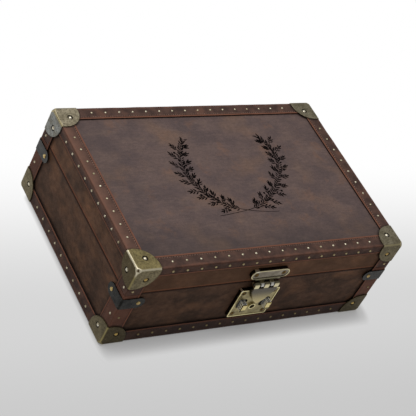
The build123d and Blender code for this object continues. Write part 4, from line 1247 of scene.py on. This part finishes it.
def welt(name, middle, x):
    """The covered cord sewn in round one end of a pillow, laid on the pillow's own face."""
    steps = 64
    rim = []
    for step in range(steps):
        angle = math.radians(step * 360 / steps)
        way = Vector((0, math.cos(angle), math.sin(angle)))
        start = Vector((x * 0.001, 0, 0))
        hit = pillow_face.ray_cast(start + way * 0.1, -way)[0]
        rim.append(hit * 1000 - way * 0.15)
    stations = []
    for index, point in enumerate(rim):
        ahead = (rim[(index + 1) % steps] - rim[index - 1]).normalized()
        out = Vector((1, 0, 0)).cross(ahead)
        def station(across, up, point=point, out=out):
            return middle + point + Vector((across, 0, 0)) + out * up
        stations.append(station)
    angles = [math.radians(i * 45) for i in range(8)]
    outline = [(CORD * math.cos(angle), CORD * math.sin(angle), 0) for angle in angles]
    settle(swept(name, outline, stations, closed=True), pillow_suede, "base")


number = 0
for row in (-1, 1):
    for column in range(-2, 3):
        number += 1
        mesh = pattern.data.copy()
        flip = Matrix.Rotation(math.pi * (number % 2), 4, "Z")
        middle = Vector((column * COLUMN_PITCH, MID_Y + row * ROW_REACH, FLOOR_TOP + PILLOW_HALF.z))
        mesh.transform(Matrix.Translation(middle * 0.001) @ flip)
        piece = linked(f"watch_pillow_{number}", mesh)
        smooth = piece.modifiers.new("smooth", "SUBSURF")
        smooth.levels = smooth.render_levels = 1
        settle(piece, pillow_suede, "base", "watch_pillows")
        for end, x in (("left", -SEAM_X), ("right", SEAM_X)):
            welt(f"pillow_{number}_{end}_welt", middle, x)
bpy.data.objects.remove(pattern)


# The lid's pad: a thin foam panel covered in suede, pressed up inside the lid, so that nothing rattles.
# It is thickest in its middle, and a row of stitches holds the suede down all round.
EDGE_SHARE = 0.55              # the pad's thickness at its rim, as a share of the most
PAD_ROW = 9                    # its stitches, from the rim
low, high = [corner * 1000 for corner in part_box("lid_pad")]
half_x, half_y = high.x, high.y - MID_Y
thick = high.z - low.z
columns, rows = 60, 44
stations = []
for step in range(columns + 1):
    share = -math.cos(math.pi * step / columns)
    def station(y, depth, share=share):
        across = y / half_y
        room = max(0, (1 - share ** 12) * (1 - abs(across) ** 12))
        crown = EDGE_SHARE + (1 - EDGE_SHARE) * room + waver((share * 130, across * 80, 0), 45, 0.1)
        drawn_in = 1 - 0.006 * share ** 12
        height = high.z - min(depth * crown, thick)
        return Vector((share * half_x * drawn_in, MID_Y + y * drawn_in, height))
    stations.append(station)
lower_face = [(-half_y + 2 * half_y * row / rows, thick, 0) for row in range(rows + 1)]
upper_face = [(half_y, 0, 0), (0, 0, 0), (-half_y, 0, 0)]
piece = swept("lid_pad_cushion", lower_face + upper_face, stations)
settle(piece, suede, "lid", "lid_pad")
pad_face = surface(piece)
places = []
for side in SIDES:
    half, reach = half_and_reach(side, half_x, half_y)
    for here, _, ahead in stitch_row(side, half - PAD_ROW, reach - PAD_ROW, 0, UP, 3.2):
        face, out = pad_face.ray_cast(here, UP)[:2]
        places.append((face, out, ahead))
sewn("lid_pad_stitches", "lid", places, tone(150, 126, 100), 8)


# The photograph's view: a long lens above the box's front left corner, rolled so that the box tilts.
# Its place, angles and length come from the box's seven visible corners.
camera_data = bpy.data.cameras.new("camera")
camera_data.lens = 118.16
camera_data.sensor_width = 36.0
camera_data.clip_start = 0.05
camera = linked("camera", camera_data)
heading = Matrix.Rotation(math.radians(-46.66), 4, "Z")
pitch = Matrix.Rotation(math.radians(90 - 38.77), 4, "X")
roll = Matrix.Rotation(math.radians(29.32), 4, "Z")
camera.matrix_world = Matrix.Translation((-0.7452, -0.69275, 0.8726)) @ heading @ pitch @ roll
bpy.context.scene.camera = camera


# The studio: a pale floor that fades to white behind the box, one large soft lamp above, white walls.
# The floor glows as a lit backdrop does, and takes the lamp's own light and shadow only round the box.
floor_mesh = bpy.data.meshes.new("floor")
floor_mesh.from_pydata([(-9, -9, 0), (9, -9, 0), (9, 9, 0), (-9, 9, 0)], [], [(0, 1, 2, 3)])
floor = linked("floor", floor_mesh)
paper = Finish("floor_paper")
x, y, _ = paper.place().parts()
seen = paper.make("ShaderNodeLightPath", {}, {}, "Is Camera Ray")
for ray in ("Is Glossy Ray", "Is Transmission Ray"):
    seen = seen.most(paper.make("ShaderNodeLightPath", {}, {}, ray))
paper.done(paper.blend(seen, tone(140, 140, 140), tone(224, 224, 224)), 0.9, gloss=0.1)

# The glow keeps one tone across the picture, and pales towards its top.
away = x * 0.084 + y * 0.996
grey = paper.blend(away.rise(-0.22, -0.06), tone(200, 200, 200), tone(214, 214, 214))
fade = paper.blend(away.rise(-0.075, 0.135), grey, (1.0, 1.0, 1.0, 1.0))
glow = paper.make("ShaderNodeEmission", {}, {"Color": fade, "Strength": 1.0})

# How far a spot lies past each side of the box. A factor above 1 makes the shadow on that side narrower.
past_left = ((x * -1.0 - 0.146) * 2.5).most(0.0)
past_right = ((x - 0.150) * 1.7).most(0.0)
past_front = (y * -1.0 - 0.0968).most(0.0)
past_back = (y - 0.08).most(0.0) * 2.5
from_box = squares(past_left.most(past_right), past_front.most(past_back))
clear = 0.22 + 0.78 * from_box.rise(-60.0, 420.0)
lit = Value(paper, paper.coat.outputs[0])
mixed = paper.make("ShaderNodeMixShader", {}, {0: clear * seen, 1: lit, 2: glow})
paper.feed(paper.tree.nodes["Material Output"].inputs["Surface"], mixed)
floor_mesh.materials.append(paper.material)

lamp_data = bpy.data.lights.new("soft_lamp", "AREA")
lamp_data.shape = "RECTANGLE"
lamp_data.size = 1.6
lamp_data.size_y = 1.2
lamp_data.energy = 15.5
lamp = linked("soft_lamp", lamp_data)
lamp.matrix_world = Matrix.Translation((-0.25, 0.35, 1.5)) @ Matrix.Rotation(math.radians(-12), 4, "X")

walls = bpy.data.worlds.new("white_walls")
walls.use_nodes = True
bpy.context.scene.world = walls
wall_nodes = Nodes(walls.node_tree)
straight = wall_nodes.make("ShaderNodeLightPath", {}, {}, "Is Camera Ray")
level = wall_nodes.make("ShaderNodeMapRange", {}, {"Value": straight, "To Min": 0.38, "To Max": 1.0})
background = walls.node_tree.nodes["Background"]
wall_nodes.feed(background.inputs["Color"], (1.0, 1.0, 1.0, 1.0))
wall_nodes.feed(background.inputs["Strength"], level)

bpy.context.scene.view_settings.view_transform = "Standard"
